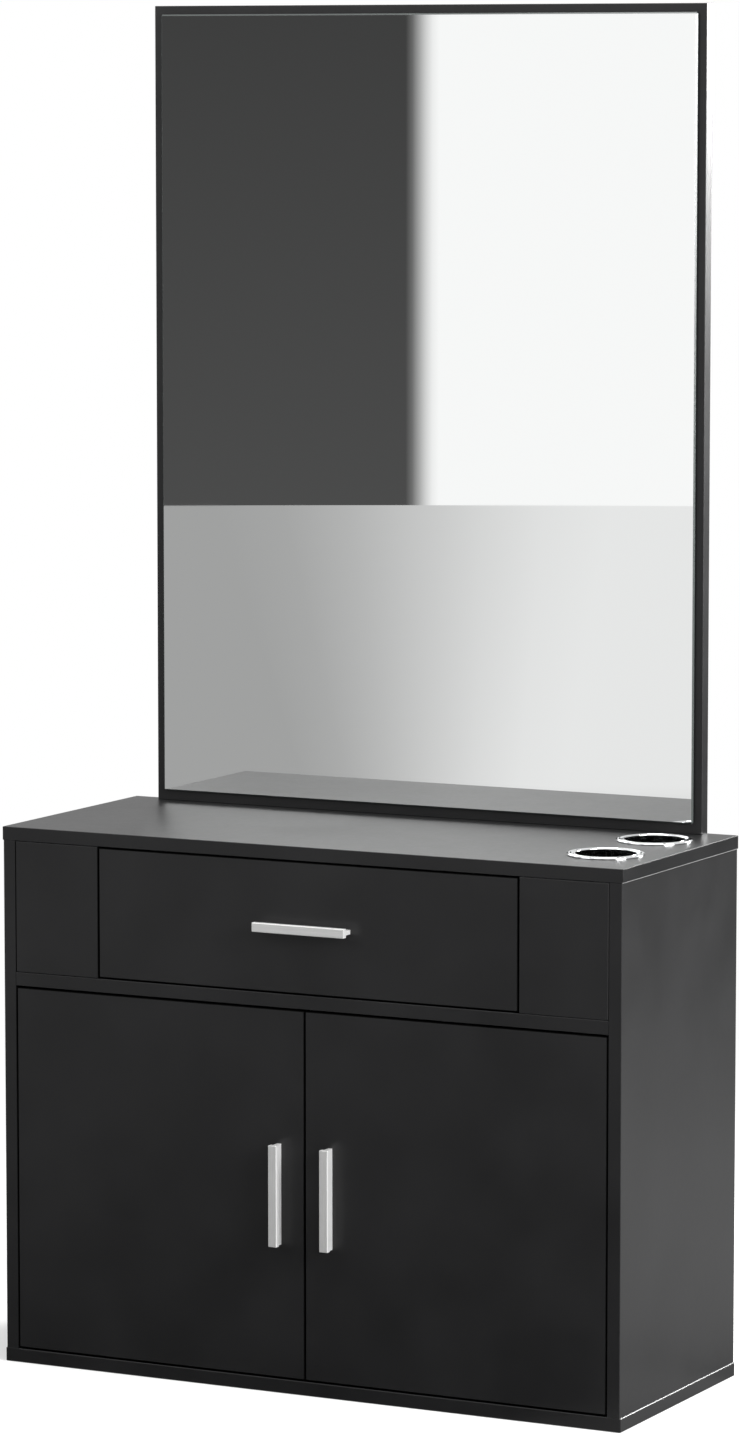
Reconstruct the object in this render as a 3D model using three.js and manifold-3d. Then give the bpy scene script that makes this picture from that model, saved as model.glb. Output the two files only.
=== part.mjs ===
// Wall-mounted styling station: a black cabinet with a drawer, two doors, two holder rings and a mirror.
// Millimetres. The front faces -Y, the wall plane is y = 0 and +Z is up.
// The origin is the centre of the upper wall rail's back face.
import * as THREE from 'three';
import { ConvexGeometry } from 'three/addons/geometries/ConvexGeometry.js';
import { mergeVertices } from 'three/addons/utils/BufferGeometryUtils.js';
import Module from 'manifold-3d';

const wasm = await Module();
wasm.setup();

// Cabinet
const cabinetWidth = 900;
const cabinetDepth = 360;
const cabinetHeight = 718;
const boardThickness = 18;
const capOverhang = 1.5;
const edgeEase = 0.6;
const drawerRowHeight = 175;
const holderBayWidth = 106.5;
const fillerSeam = 0.6;

// Back panel and wall rails
const backPanelThickness = 3;
const grooveDepth = 6;
const grooveClearance = 0.2;
const upperRailHeight = 100;
const lowerRailHeight = 80;
const wallScrewBore = 6;
const wallScrewAccessBore = 14;
const wallScrewInset = 45;
const wallScrewSpacing = 260;

// Drawer
const drawerGap = 2.5;
const drawerBoxHeight = 140;
const drawerBoxDepth = 300;
const drawerSideThickness = 15;
const drawerBoxLift = 12;
const drawerBottomThickness = 5;
const drawerBottomLift = 8;
const drawerGrooveDepth = 5;

// Telescopic drawer slides
const slideLength = 300;
const slideSpace = 12.7;
const slideHeight = 45;
const slideGauge = 1.2;
const slideRunningClearance = 0.4;
const slideSetback = 4;
const cabinetRailReach = 9.7;
const middleRailReach = 10.9;
const drawerRailReach = 9.5;

// Doors
const doorSideGap = 2;
const doorMiddleGap = 2.5;
const doorEndGap = 3;

// Concealed door hinges
const hingeInset = 22;
const hingeEndDistance = 95;
const cupRadius = 17.5;
const cupDepth = 13;
const cupWall = 0.8;
const cupFlangeReach = 3;
const cupFlangeThickness = 1;
const cupClearance = 0.2;
const pinRadius = 1.5;
const pinClearance = 0.15;
const pinEndClearance = 0.3;
const eyeWall = 1.2;
const armHeight = 12;
const armThickness = 3;
const armOffset = 17;
const armCrossing = 28;
const armFoot = 34;
const armBend = 5;
const armLeavingAngle = THREE.MathUtils.degToRad(40);
const plateThickness = 2;
const plateHeight = 32;
const plateLength = 46;

// Magnetic door catch
const catchWidth = 64;
const catchDepth = 14;
const catchHeight = 13;
const catchGap = 0.3;
const strikeWidth = 24;
const strikeHeight = 11;
const strikeThickness = 1.2;
const strikeEdgeInset = 4;
const strikeTopInset = 1;

// Cupboard shelf and its pins
const shelfSetback = 55;
const shelfSideClearance = 1;
const shelfBackClearance = 4;
const shelfPinRadius = 2.5;
const shelfPinLength = 16;
const shelfPinGrip = 8;
const shelfPinBoreClearance = 0.1;
const shelfPinInset = 37;
const shelfPinPitch = 64;
const shelfPinRows = 3;
const shelfSeatClearance = 0.2;

// Bar handles
const handleLength = 133;
const handleFaceWidth = 12;
const handleFaceDepth = 8;
const handleWeb = 5.8;
const handleProjection = 20;
const handleEase = 0.8;
const doorHandleInset = 36;

// Holder rings
const ringOuterRadius = 50;
const ringInnerRadius = 39;
const ringCollarRadius = 42;
const ringCollarDepth = 24;
const ringRimHeight = 3;
const ringBoreClearance = 0.3;
const ringFrontDistance = 113;
const ringSpacing = 150;
const ringInnerRoomShare = 1 / 3;

// Mirror
const mirrorBoardWidth = 812;
const mirrorBoardHeight = 1077;
const mirrorMargin = 11.5;
const mirrorFootMargin = 13.5;
const mirrorGlassThickness = 5;
const mirrorGlassEase = 1.2;

// Steel plates that join the mirror board to the cabinet
const joiningPlateWidth = 40;
const joiningPlateThickness = 2;
const joiningPlateReachUp = 82;
const joiningPlateReachDown = 60;
const joiningPlateInset = 105;
const joiningPlateClearance = 0.4;

// Facets and cutting
const ringSegments = 80;
const cupSegments = 40;
const smallSegments = 20;
const arcSteps = 3;
const cutOverrun = 5;
const mergeTolerance = 1e-5;

// Levels and planes that follow from the sizes
const frontY = -cabinetDepth;
const frontBackY = frontY + boardThickness;
const panelOuterX = cabinetWidth / 2 - capOverhang;
const panelInnerX = panelOuterX - boardThickness;
const topUnderside = cabinetHeight - boardThickness;
const shelfTop = topUnderside - drawerRowHeight;
const shelfUnderside = shelfTop - boardThickness;
const railFrontY = -boardThickness;
const innerBackY = railFrontY - backPanelThickness;
const partitionOuterX = panelInnerX - holderBayWidth;
const partitionInnerX = partitionOuterX - boardThickness;
const railCentre = topUnderside - upperRailHeight / 2;
const doorBottom = boardThickness + doorEndGap;
const doorTop = shelfUnderside - doorEndGap;
const doorOuterX = panelInnerX - doorSideGap;
const pinX = doorOuterX - hingeInset;
const pinY = frontY + boardThickness / 2;
const drawerBoxHalfWidth = partitionInnerX - slideSpace;
const drawerFrontBottom = shelfTop + drawerGap;
const drawerBoxBottom = drawerFrontBottom + drawerBoxLift;
const drawerBoxTop = drawerBoxBottom + drawerBoxHeight;
const slideCentreZ = drawerBoxBottom + drawerBoxHeight / 2;
const ringBoreRadius = ringCollarRadius + ringBoreClearance;
const ringSpareWidth = holderBayWidth - 2 * ringBoreRadius;
const ringX = partitionOuterX + ringBoreRadius + ringSpareWidth * ringInnerRoomShare;
const hands = { left: -1, right: 1 };

const materialOf = {
  melamine: () => new THREE.MeshStandardMaterial({ color: 0x2a2a2b, roughness: 0.45, metalness: 0 }),
  hardboard: () => new THREE.MeshStandardMaterial({ color: 0x242423, roughness: 0.8, metalness: 0 }),
  aluminium: () => new THREE.MeshStandardMaterial({ color: 0xb4b4b2, roughness: 0.35, metalness: 1 }),
  chrome: () => new THREE.MeshStandardMaterial({ color: 0xdcdcdc, roughness: 0.08, metalness: 1 }),
  steel: () => new THREE.MeshStandardMaterial({ color: 0x9c9fa2, roughness: 0.4, metalness: 1 }),
  plastic: () => new THREE.MeshStandardMaterial({ color: 0x8a8680, roughness: 0.5, metalness: 0 }),
  mirror: () => new THREE.MeshStandardMaterial({ color: 0xe4e6e6, roughness: 0.02, metalness: 1 }),
};

// A box with every edge eased by a small flat, as edge-banded board has
function easedBox(width, depth, height, ease) {
  const points = [];
  for (const sideX of [-1, 1]) {
    for (const sideY of [-1, 1]) {
      for (const sideZ of [-1, 1]) {
        const x = sideX * width / 2;
        const y = sideY * depth / 2;
        const z = sideZ * height / 2;
        points.push(new THREE.Vector3(x, y - sideY * ease, z - sideZ * ease));
        points.push(new THREE.Vector3(x - sideX * ease, y, z - sideZ * ease));
        points.push(new THREE.Vector3(x - sideX * ease, y - sideY * ease, z));
      }
    }
  }
  return new ConvexGeometry(points);
}

function named(name, geometry, material) {
  const mesh = new THREE.Mesh(geometry, material);
  mesh.name = name;
  return mesh;
}

// A board or block between two planes on each axis
function block(name, spanX, spanY, spanZ, material, ease = 0) {
  const spans = [spanX, spanY, spanZ];
  const size = spans.map(([low, high]) => high - low);
  const centre = spans.map(([low, high]) => (low + high) / 2);
  const geometry = ease > 0 ? easedBox(...size, ease) : new THREE.BoxGeometry(...size);
  const mesh = named(name, geometry, material);
  mesh.position.set(...centre);
  return mesh;
}

// The same span on the left or on the right of the middle plane
function handed(hand, inner, outer) {
  return hand > 0 ? [inner, outer] : [-outer, -inner];
}

function cylinder(name, radius, length, segments, axis, material) {
  const geometry = new THREE.CylinderGeometry(radius, radius, length, segments);
  if (axis === 'x') geometry.rotateZ(Math.PI / 2);
  if (axis === 'z') geometry.rotateX(Math.PI / 2);
  return named(name, geometry, material);
}

function solidOf(mesh) {
  mesh.updateMatrix();
  const placed = mesh.geometry.clone().applyMatrix4(mesh.matrix);
  placed.deleteAttribute('normal');
  placed.deleteAttribute('uv');
  const merged = mergeVertices(placed, mergeTolerance);
  const vertProperties = new Float32Array(merged.attributes.position.array);
  const triVerts = new Uint32Array(merged.index.array);
  return new wasm.Manifold(new wasm.Mesh({ numProp: 3, vertProperties, triVerts }));
}

function reshape(mesh, solid) {
  const result = solid.getMesh();
  const geometry = new THREE.BufferGeometry();
  geometry.setAttribute('position', new THREE.BufferAttribute(result.vertProperties, 3));
  geometry.setIndex(new THREE.BufferAttribute(result.triVerts, 1));
  geometry.applyMatrix4(mesh.matrix.clone().invert());
  mesh.geometry = geometry.toNonIndexed();
  mesh.geometry.computeVertexNormals();
  return mesh;
}

function carve(mesh, cutters) {
  const removed = cutters.map(solidOf).reduce((sum, cutter) => sum.add(cutter));
  return reshape(mesh, solidOf(mesh).subtract(removed));
}

function join(mesh, others) {
  const added = others.map(solidOf).reduce((sum, other) => sum.add(other));
  return reshape(mesh, solidOf(mesh).add(added));
}

function bore(x, y, z, radius, length, segments, axis) {
  const cutter = cylinder('bore', radius, length, segments, axis);
  cutter.position.set(x, y, z);
  return cutter;
}

// Cutters that trim a board square at both ends, where it butts against its neighbours
function endTrims(axis, [low, high]) {
  const wide = [-cabinetWidth, cabinetWidth];
  return [[low - cutOverrun, low], [high, high + cutOverrun]].map((span) => {
    const spans = { x: wide, y: wide, z: wide, [axis]: span };
    return block('trim', spans.x, spans.y, spans.z);
  });
}

// The groove that holds the back panel, cut into a board whose face is crossed by spanX and spanZ
function backGroove(spanX, spanZ) {
  const spanY = [innerBackY - grooveClearance, railFrontY + grooveClearance];
  return block('groove', spanX, spanY, spanZ);
}

// The recesses that keep the joining plates flush with the wall plane
function joiningPlateRecesses() {
  return Object.values(hands).map((hand) => {
    const { spanX, spanZ } = joiningPlateSpans(hand);
    const clearance = joiningPlateClearance;
    return block(
      'recess',
      [spanX[0] - clearance, spanX[1] + clearance],
      [-joiningPlateThickness, cutOverrun],
      [spanZ[0] - clearance, spanZ[1] + clearance],
    );
  });
}

function joiningPlateSpans(hand) {
  const outer = mirrorBoardWidth / 2 - joiningPlateInset;
  const spanX = handed(hand, outer - joiningPlateWidth, outer);
  const spanZ = [topUnderside - joiningPlateReachDown, cabinetHeight + joiningPlateReachUp];
  return { spanX, spanZ };
}

function wallScrewPlaces() {
  const outer = panelInnerX - wallScrewInset;
  const inner = outer - wallScrewSpacing;
  return [-outer, -inner, inner, outer];
}

function ringPlaces() {
  const frontRingY = frontY + ringFrontDistance;
  return { front: frontRingY, rear: frontRingY + ringSpacing };
}

// Cabinet boards
function topPanel() {
  const panel = block(
    'top_panel',
    [-cabinetWidth / 2, cabinetWidth / 2],
    [frontY, 0],
    [topUnderside, cabinetHeight],
    materialOf.melamine(),
    edgeEase,
  );
  const length = boardThickness + cutOverrun;
  const middleZ = cabinetHeight - boardThickness / 2;
  const bores = Object.values(ringPlaces()).map(
    (y) => bore(ringX, y, middleZ, ringBoreRadius, length, ringSegments, 'z'),
  );
  const grooveX = panelInnerX + grooveDepth + grooveClearance;
  const grooveTop = topUnderside + grooveDepth + grooveClearance;
  const groove = backGroove([-grooveX, grooveX], [topUnderside - cutOverrun, grooveTop]);
  return carve(panel, [...bores, groove, ...joiningPlateRecesses()]);
}

function bottomPanel() {
  const panel = block(
    'bottom_panel',
    [-cabinetWidth / 2, cabinetWidth / 2],
    [frontY, 0],
    [0, boardThickness],
    materialOf.melamine(),
    edgeEase,
  );
  const grooveX = panelInnerX + grooveDepth + grooveClearance;
  const grooveBottom = boardThickness - grooveDepth - grooveClearance;
  return carve(panel, [backGroove([-grooveX, grooveX], [grooveBottom, boardThickness + cutOverrun])]);
}

function shelfPinHeights() {
  const middle = (boardThickness + shelfUnderside) / 2;
  const firstRow = middle - shelfPinPitch * (shelfPinRows - 1) / 2;
  return Array.from({ length: shelfPinRows }, (_, row) => firstRow + row * shelfPinPitch);
}

function shelfSpanY() {
  return [frontY + shelfSetback, innerBackY - shelfBackClearance];
}

function shelfPinDepths() {
  const [front, back] = shelfSpanY();
  return { front: front + shelfPinInset, rear: back - shelfPinInset };
}

function sidePanel(side) {
  const hand = hands[side];
  const panel = block(
    `${side}_side_panel`,
    handed(hand, panelInnerX, panelOuterX),
    [frontY, 0],
    [boardThickness - edgeEase, topUnderside + edgeEase],
    materialOf.melamine(),
    edgeEase,
  );
  const grooveX = handed(hand, panelInnerX - cutOverrun, panelInnerX + grooveDepth + grooveClearance);
  const groove = backGroove(grooveX, [boardThickness - cutOverrun, topUnderside + cutOverrun]);
  const radius = shelfPinRadius + shelfPinBoreClearance;
  const boreLength = 2 * (shelfPinGrip + pinEndClearance);
  const bores = shelfPinHeights().flatMap((z) => Object.values(shelfPinDepths()).map(
    (y) => bore(hand * panelInnerX, y, z, radius, boreLength, smallSegments, 'x'),
  ));
  return carve(panel, [groove, ...bores, ...endTrims('z', [boardThickness, topUnderside])]);
}

function middleShelf() {
  const shelf = block(
    'middle_shelf',
    [-panelInnerX - edgeEase, panelInnerX + edgeEase],
    [frontY, innerBackY],
    [shelfUnderside, shelfTop],
    materialOf.melamine(),
    edgeEase,
  );
  return carve(shelf, endTrims('x', [-panelInnerX, panelInnerX]));
}

function partition(side) {
  return block(
    `${side}_partition`,
    handed(hands[side], partitionInnerX, partitionOuterX),
    [frontBackY, innerBackY],
    [shelfTop, topUnderside],
    materialOf.melamine(),
  );
}

function frontFiller(side) {
  return block(
    `${side}_front_filler`,
    handed(hands[side], partitionInnerX, panelInnerX - fillerSeam),
    [frontY, frontBackY],
    [shelfTop + fillerSeam, topUnderside - fillerSeam],
    materialOf.melamine(),
    edgeEase,
  );
}

function backPanel() {
  const reachX = panelInnerX + grooveDepth;
  const panel = block(
    'back_panel',
    [-reachX, reachX],
    [innerBackY, railFrontY],
    [boardThickness - grooveDepth, topUnderside + grooveDepth],
    materialOf.hardboard(),
  );
  const middleY = (innerBackY + railFrontY) / 2;
  const length = backPanelThickness + cutOverrun;
  const bores = wallScrewPlaces().flatMap((x) => [railCentre, lowerRailCentre()].map(
    (z) => bore(x, middleY, z, wallScrewAccessBore / 2, length, smallSegments, 'y'),
  ));
  return carve(panel, bores);
}

function lowerRailCentre() {
  return boardThickness + lowerRailHeight / 2;
}

function wallRail(name, spanZ, recesses) {
  const rail = block(name, [-panelInnerX, panelInnerX], [railFrontY, 0], spanZ, materialOf.melamine());
  const middleZ = (spanZ[0] + spanZ[1]) / 2;
  const length = boardThickness + cutOverrun;
  const bores = wallScrewPlaces().map(
    (x) => bore(x, railFrontY / 2, middleZ, wallScrewBore / 2, length, smallSegments, 'y'),
  );
  return carve(rail, [...bores, ...recesses]);
}

function wallRails() {
  return [
    wallRail('wall_rail_upper', [topUnderside - upperRailHeight, topUnderside], joiningPlateRecesses()),
    wallRail('wall_rail_lower', [boardThickness, boardThickness + lowerRailHeight], []),
  ];
}

// Cupboard shelf on four pins in the middle row of bores
function cupboardShelf() {
  const reachX = panelInnerX - shelfSideClearance;
  const pinZ = shelfPinHeights()[Math.floor(shelfPinRows / 2)];
  const underside = pinZ + shelfPinRadius + shelfSeatClearance;
  return block(
    'cupboard_shelf',
    [-reachX, reachX],
    shelfSpanY(),
    [underside, underside + boardThickness],
    materialOf.melamine(),
    edgeEase,
  );
}

function shelfPins() {
  const pinZ = shelfPinHeights()[Math.floor(shelfPinRows / 2)];
  return Object.entries(hands).flatMap(([side, hand]) => Object.entries(shelfPinDepths()).map(([end, y]) => {
    const pin = cylinder(
      `shelf_pin_${side}_${end}`, shelfPinRadius, shelfPinLength, smallSegments, 'x', materialOf.steel(),
    );
    const middleX = panelInnerX + shelfPinGrip - shelfPinLength / 2;
    pin.position.set(hand * middleX, y, pinZ);
    return pin;
  }));
}

// Chrome ring with a collar that lines its hole in the top
function holderRing(end, y) {
  const rimRadius = ringRimHeight / 2;
  const profile = new THREE.Path();
  profile.moveTo(ringInnerRadius, -ringCollarDepth);
  profile.lineTo(ringCollarRadius, -ringCollarDepth);
  profile.lineTo(ringCollarRadius, 0);
  profile.lineTo(ringOuterRadius, 0);
  profile.lineTo(ringOuterRadius, ringRimHeight - rimRadius);
  profile.absarc(ringOuterRadius - rimRadius, ringRimHeight - rimRadius, rimRadius, 0, Math.PI / 2);
  profile.lineTo(ringInnerRadius + rimRadius, ringRimHeight);
  profile.absarc(ringInnerRadius + rimRadius, ringRimHeight - rimRadius, rimRadius, Math.PI / 2, Math.PI);
  profile.lineTo(ringInnerRadius, -ringCollarDepth);
  const geometry = new THREE.LatheGeometry(profile.getPoints(arcSteps), ringSegments);
  geometry.rotateX(Math.PI / 2);
  const ring = named(`${end}_holder_ring`, geometry, materialOf.chrome());
  ring.position.set(ringX, y, cabinetHeight);
  return ring;
}

// Mirror and the plates that hold it
function mirrorBoard() {
  const board = block(
    'mirror_board',
    [-mirrorBoardWidth / 2, mirrorBoardWidth / 2],
    [-boardThickness, 0],
    [cabinetHeight, cabinetHeight + mirrorBoardHeight],
    materialOf.melamine(),
    edgeEase,
  );
  return carve(board, joiningPlateRecesses());
}

function mirrorGlass() {
  const bottom = cabinetHeight + mirrorFootMargin;
  const top = cabinetHeight + mirrorBoardHeight - mirrorMargin;
  const reachX = mirrorBoardWidth / 2 - mirrorMargin;
  return block(
    'mirror_glass',
    [-reachX, reachX],
    [-boardThickness - mirrorGlassThickness, -boardThickness],
    [bottom, top],
    materialOf.mirror(),
    mirrorGlassEase,
  );
}

function joiningPlate(side) {
  const { spanX, spanZ } = joiningPlateSpans(hands[side]);
  return block(`mirror_plate_${side}`, spanX, [-joiningPlateThickness, 0], spanZ, materialOf.steel());
}

// T-section bar with its web against the front that carries it, running along Z
function barHandle(name) {
  const webX = handleWeb / 2;
  const faceX = handleFaceWidth / 2;
  const faceBackY = handleFaceDepth - handleProjection;
  const section = new THREE.Shape();
  section.moveTo(-webX, 0);
  section.lineTo(-webX, faceBackY);
  section.lineTo(-faceX, faceBackY);
  section.lineTo(-faceX, handleEase - handleProjection);
  section.lineTo(handleEase - faceX, -handleProjection);
  section.lineTo(faceX - handleEase, -handleProjection);
  section.lineTo(faceX, handleEase - handleProjection);
  section.lineTo(faceX, faceBackY);
  section.lineTo(webX, faceBackY);
  section.lineTo(webX, 0);
  const geometry = new THREE.ExtrudeGeometry(section, { depth: handleLength, bevelEnabled: false });
  geometry.translate(0, 0, -handleLength / 2);
  return named(name, geometry, materialOf.aluminium());
}

// Drawer
function drawerFront() {
  const reachX = partitionInnerX - drawerGap;
  const front = block(
    'drawer_front',
    [-reachX, reachX],
    [frontY, frontBackY],
    [drawerFrontBottom, topUnderside - drawerGap],
    materialOf.melamine(),
    edgeEase,
  );
  return carve(front, [drawerBottomBlock('groove', grooveClearance)]);
}

function drawerSpans() {
  const innerX = drawerBoxHalfWidth - drawerSideThickness;
  const backEndY = frontBackY + drawerBoxDepth;
  const backFrontY = backEndY - drawerSideThickness;
  return { innerX, backEndY, backFrontY };
}

function drawerBottomBlock(name, clearance, material) {
  const { innerX, backFrontY } = drawerSpans();
  const reachX = innerX + drawerGrooveDepth + clearance;
  const bottomZ = drawerBoxBottom + drawerBottomLift;
  return block(
    name,
    [-reachX, reachX],
    [frontBackY - drawerGrooveDepth - clearance, backFrontY + drawerGrooveDepth + clearance],
    [bottomZ - clearance, bottomZ + drawerBottomThickness + clearance],
    material,
  );
}

function drawerSide(side) {
  const { innerX, backEndY } = drawerSpans();
  const board = block(
    `drawer_${side}_side`,
    handed(hands[side], innerX, drawerBoxHalfWidth),
    [frontBackY, backEndY],
    [drawerBoxBottom, drawerBoxTop],
    materialOf.melamine(),
  );
  return carve(board, [drawerBottomBlock('groove', grooveClearance)]);
}

function drawerBack() {
  const { innerX, backEndY, backFrontY } = drawerSpans();
  const board = block(
    'drawer_back',
    [-innerX, innerX],
    [backFrontY, backEndY],
    [drawerBoxBottom, drawerBoxTop],
    materialOf.melamine(),
  );
  return carve(board, [drawerBottomBlock('groove', grooveClearance)]);
}

function drawerHandle() {
  const handle = barHandle('drawer_handle');
  handle.rotation.y = Math.PI / 2;
  handle.position.set(0, frontY, (drawerFrontBottom + topUnderside - drawerGap) / 2);
  return handle;
}

function drawer() {
  const assembly = new THREE.Group();
  assembly.add(drawerFront(), drawerBack(), drawerHandle());
  assembly.add(drawerBottomBlock('drawer_bottom', 0, materialOf.hardboard()));
  assembly.add(drawerSide('left'), drawerSide('right'));
  return assembly;
}

// One C-section rail, its web at webX and its lips reaching towards the other side
function slideRail(name, hand, webX, reach, height) {
  const lipX = webX + reach;
  const insideX = webX + Math.sign(reach) * slideGauge;
  const top = height / 2;
  const lip = top - slideGauge;
  const corners = [
    [webX, -top], [lipX, -top], [lipX, -lip], [insideX, -lip],
    [insideX, lip], [lipX, lip], [lipX, top], [webX, top],
  ];
  const outline = corners.map(([x, z]) => new THREE.Vector2(hand * (partitionInnerX - x), z));
  const section = new THREE.Shape(outline);
  const geometry = new THREE.ExtrudeGeometry(section, { depth: slideLength, bevelEnabled: false });
  geometry.rotateX(Math.PI / 2);
  const rail = named(name, geometry, materialOf.steel());
  rail.position.set(0, frontBackY + slideSetback + slideLength, slideCentreZ);
  return rail;
}

function drawerSlide(side) {
  const hand = hands[side];
  const step = slideGauge + slideRunningClearance;
  const middleHeight = slideHeight - 2 * step;
  const drawerRailHeight = middleHeight - 2 * step;
  const cabinetRail = slideRail(`${side}_slide_cabinet_rail`, hand, 0, cabinetRailReach, slideHeight);
  const middleRail = slideRail(`${side}_slide_middle_rail`, hand, step, middleRailReach - step, middleHeight);
  const drawerRail = slideRail(
    `${side}_slide_drawer_rail`, hand, slideSpace, -drawerRailReach, drawerRailHeight,
  );
  return [cabinetRail, middleRail, drawerRail];
}

// Doors
function doorSpanX(hand) {
  return handed(hand, doorMiddleGap / 2, doorOuterX);
}

function hingeHeights() {
  return { lower: doorBottom + hingeEndDistance, upper: doorTop - hingeEndDistance };
}

function doorLeaf(side) {
  const hand = hands[side];
  const leaf = block(
    `${side}_door`,
    doorSpanX(hand),
    [frontY, frontBackY],
    [doorBottom, doorTop],
    materialOf.melamine(),
    edgeEase,
  );
  const radius = cupRadius + cupClearance;
  const length = 2 * (cupDepth + cupClearance);
  const pockets = Object.values(hingeHeights()).map(
    (z) => bore(hand * pinX, frontBackY, z, radius, length, cupSegments, 'y'),
  );
  return carve(leaf, pockets);
}

function doorHandle(side) {
  const handle = barHandle(`${side}_door_handle`);
  const x = doorMiddleGap / 2 + doorHandleInset;
  handle.position.set(hands[side] * x, frontY, (doorBottom + doorTop) / 2);
  return handle;
}

// Hinge cup let into the back of the door, with bores for its pin
function hingeCup(name) {
  const innerRadius = cupRadius - cupWall;
  const flangeRadius = cupRadius + cupFlangeReach;
  const outline = [
    [0, -cupDepth], [cupRadius, -cupDepth], [cupRadius, 0], [flangeRadius, 0],
    [flangeRadius, cupFlangeThickness], [innerRadius, cupFlangeThickness],
    [innerRadius, cupWall - cupDepth], [0, cupWall - cupDepth],
  ];
  const profile = outline.map(([radius, y]) => new THREE.Vector2(radius, y));
  const cup = named(name, new THREE.LatheGeometry(profile, cupSegments), materialOf.steel());
  const pinDepth = boardThickness / 2;
  const pinBore = bore(
    0, -pinDepth, 0, pinRadius + pinClearance, 2 * (cupRadius + cutOverrun), smallSegments, 'z',
  );
  return carve(cup, [pinBore]);
}

function bentPath(corners, bend) {
  const path = new THREE.Path();
  path.moveTo(...corners[0]);
  for (let index = 1; index < corners.length - 1; index += 1) {
    const corner = new THREE.Vector2(...corners[index]);
    const towardsLast = new THREE.Vector2(...corners[index - 1]).sub(corner).setLength(bend);
    const towardsNext = new THREE.Vector2(...corners[index + 1]).sub(corner).setLength(bend);
    path.lineTo(...corner.clone().add(towardsLast));
    path.quadraticCurveTo(...corner, ...corner.clone().add(towardsNext));
  }
  path.lineTo(...corners[corners.length - 1]);
  return path.getPoints(arcSteps);
}

function stripShape(points, thickness) {
  const left = [];
  const right = [];
  points.forEach((point, index) => {
    const before = points[Math.max(index - 1, 0)];
    const after = points[Math.min(index + 1, points.length - 1)];
    const run = after.clone().sub(before).normalize();
    const offset = new THREE.Vector2(-run.y, run.x).multiplyScalar(thickness / 2);
    left.push(point.clone().add(offset));
    right.push(point.clone().sub(offset));
  });
  return new THREE.Shape([...left, ...right.reverse()]);
}

// Cranked arm from the eye on the pin, round the open door's edge, to the plate on the side panel
function hingeArm(name, hand) {
  const footX = panelInnerX - pinX - plateThickness - armThickness / 2;
  const corners = [
    [0, 0],
    [-armOffset, armOffset * Math.tan(armLeavingAngle)],
    [-armOffset, armCrossing],
    [footX, armCrossing],
    [footX, armCrossing + armFoot],
  ].map(([x, y]) => [hand * x, y]);
  const shape = stripShape(bentPath(corners, armBend), armThickness);
  const geometry = new THREE.ExtrudeGeometry(shape, { depth: armHeight, bevelEnabled: false });
  geometry.translate(0, 0, -armHeight / 2);
  const arm = named(name, geometry, materialOf.steel());
  const boreRadius = pinRadius + pinClearance;
  const eye = cylinder('eye', boreRadius + eyeWall, armHeight, smallSegments, 'z');
  join(arm, [eye]);
  return carve(arm, [bore(0, 0, 0, boreRadius, armHeight + cutOverrun, smallSegments, 'z')]);
}

function hingePlate(name, hand) {
  const wallX = panelInnerX - pinX;
  const startY = armCrossing - armThickness;
  return block(
    name,
    handed(hand, wallX - plateThickness, wallX),
    [startY, startY + plateLength],
    [-plateHeight / 2, plateHeight / 2],
    materialOf.steel(),
  );
}

function hinge(side, level, z) {
  const hand = hands[side];
  const label = `${side}_${level}_hinge`;
  const assembly = new THREE.Group();
  assembly.position.set(hand * pinX, pinY, z);
  const cup = hingeCup(`${label}_cup`);
  cup.position.y = boardThickness / 2;
  const pinLength = 2 * (cupRadius - pinEndClearance);
  const pin = cylinder(`${label}_pin`, pinRadius, pinLength, smallSegments, 'z', materialOf.steel());
  assembly.add(cup, pin, hingeArm(`${label}_arm`, hand), hingePlate(`${label}_plate`, hand));
  return assembly;
}

function door(side) {
  const assembly = new THREE.Group();
  assembly.add(doorLeaf(side), doorHandle(side));
  for (const [level, z] of Object.entries(hingeHeights())) assembly.add(hinge(side, level, z));
  return assembly;
}

// Magnetic catch under the middle shelf and a strike on each door
function doorCatch() {
  const startY = frontBackY + strikeThickness + catchGap;
  return block(
    'magnetic_catch',
    [-catchWidth / 2, catchWidth / 2],
    [startY, startY + catchDepth],
    [shelfUnderside - catchHeight, shelfUnderside],
    materialOf.plastic(),
    edgeEase,
  );
}

function catchStrike(side) {
  const inner = doorMiddleGap / 2 + strikeEdgeInset;
  const top = doorTop - strikeTopInset;
  return block(
    `${side}_door_strike`,
    handed(hands[side], inner, inner + strikeWidth),
    [frontBackY, frontBackY + strikeThickness],
    [top - strikeHeight, top],
    materialOf.steel(),
  );
}

function cabinet() {
  const assembly = new THREE.Group();
  assembly.add(topPanel(), bottomPanel(), middleShelf(), backPanel(), ...wallRails());
  for (const side of Object.keys(hands)) assembly.add(sidePanel(side), partition(side), frontFiller(side));
  assembly.add(cupboardShelf(), ...shelfPins(), doorCatch());
  for (const [end, y] of Object.entries(ringPlaces())) assembly.add(holderRing(end, y));
  return assembly;
}

function mirror() {
  const assembly = new THREE.Group();
  assembly.add(mirrorBoard(), mirrorGlass(), joiningPlate('left'), joiningPlate('right'));
  return assembly;
}

const station = new THREE.Group();
station.position.z = -railCentre;
station.add(cabinet(), mirror(), drawer());
for (const side of Object.keys(hands)) station.add(door(side), catchStrike(side), ...drawerSlide(side));

const part = new THREE.Group();
part.add(station);
export default part;
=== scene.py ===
"""Looks of a wall-mounted styling station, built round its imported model.

Everything is in metres in the model's own frame: the wall plane is y = 0, the front faces -Y
and +Z is up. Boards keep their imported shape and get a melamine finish. Rings, bars, hinges,
slides, pins, plates and screws are finer surfaces worked out here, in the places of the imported
pieces that they stand for.
"""

from __future__ import annotations

import functools
import logging
import math
from collections.abc import Iterable
from dataclasses import dataclass
from enum import Enum
from typing import Protocol

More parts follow.
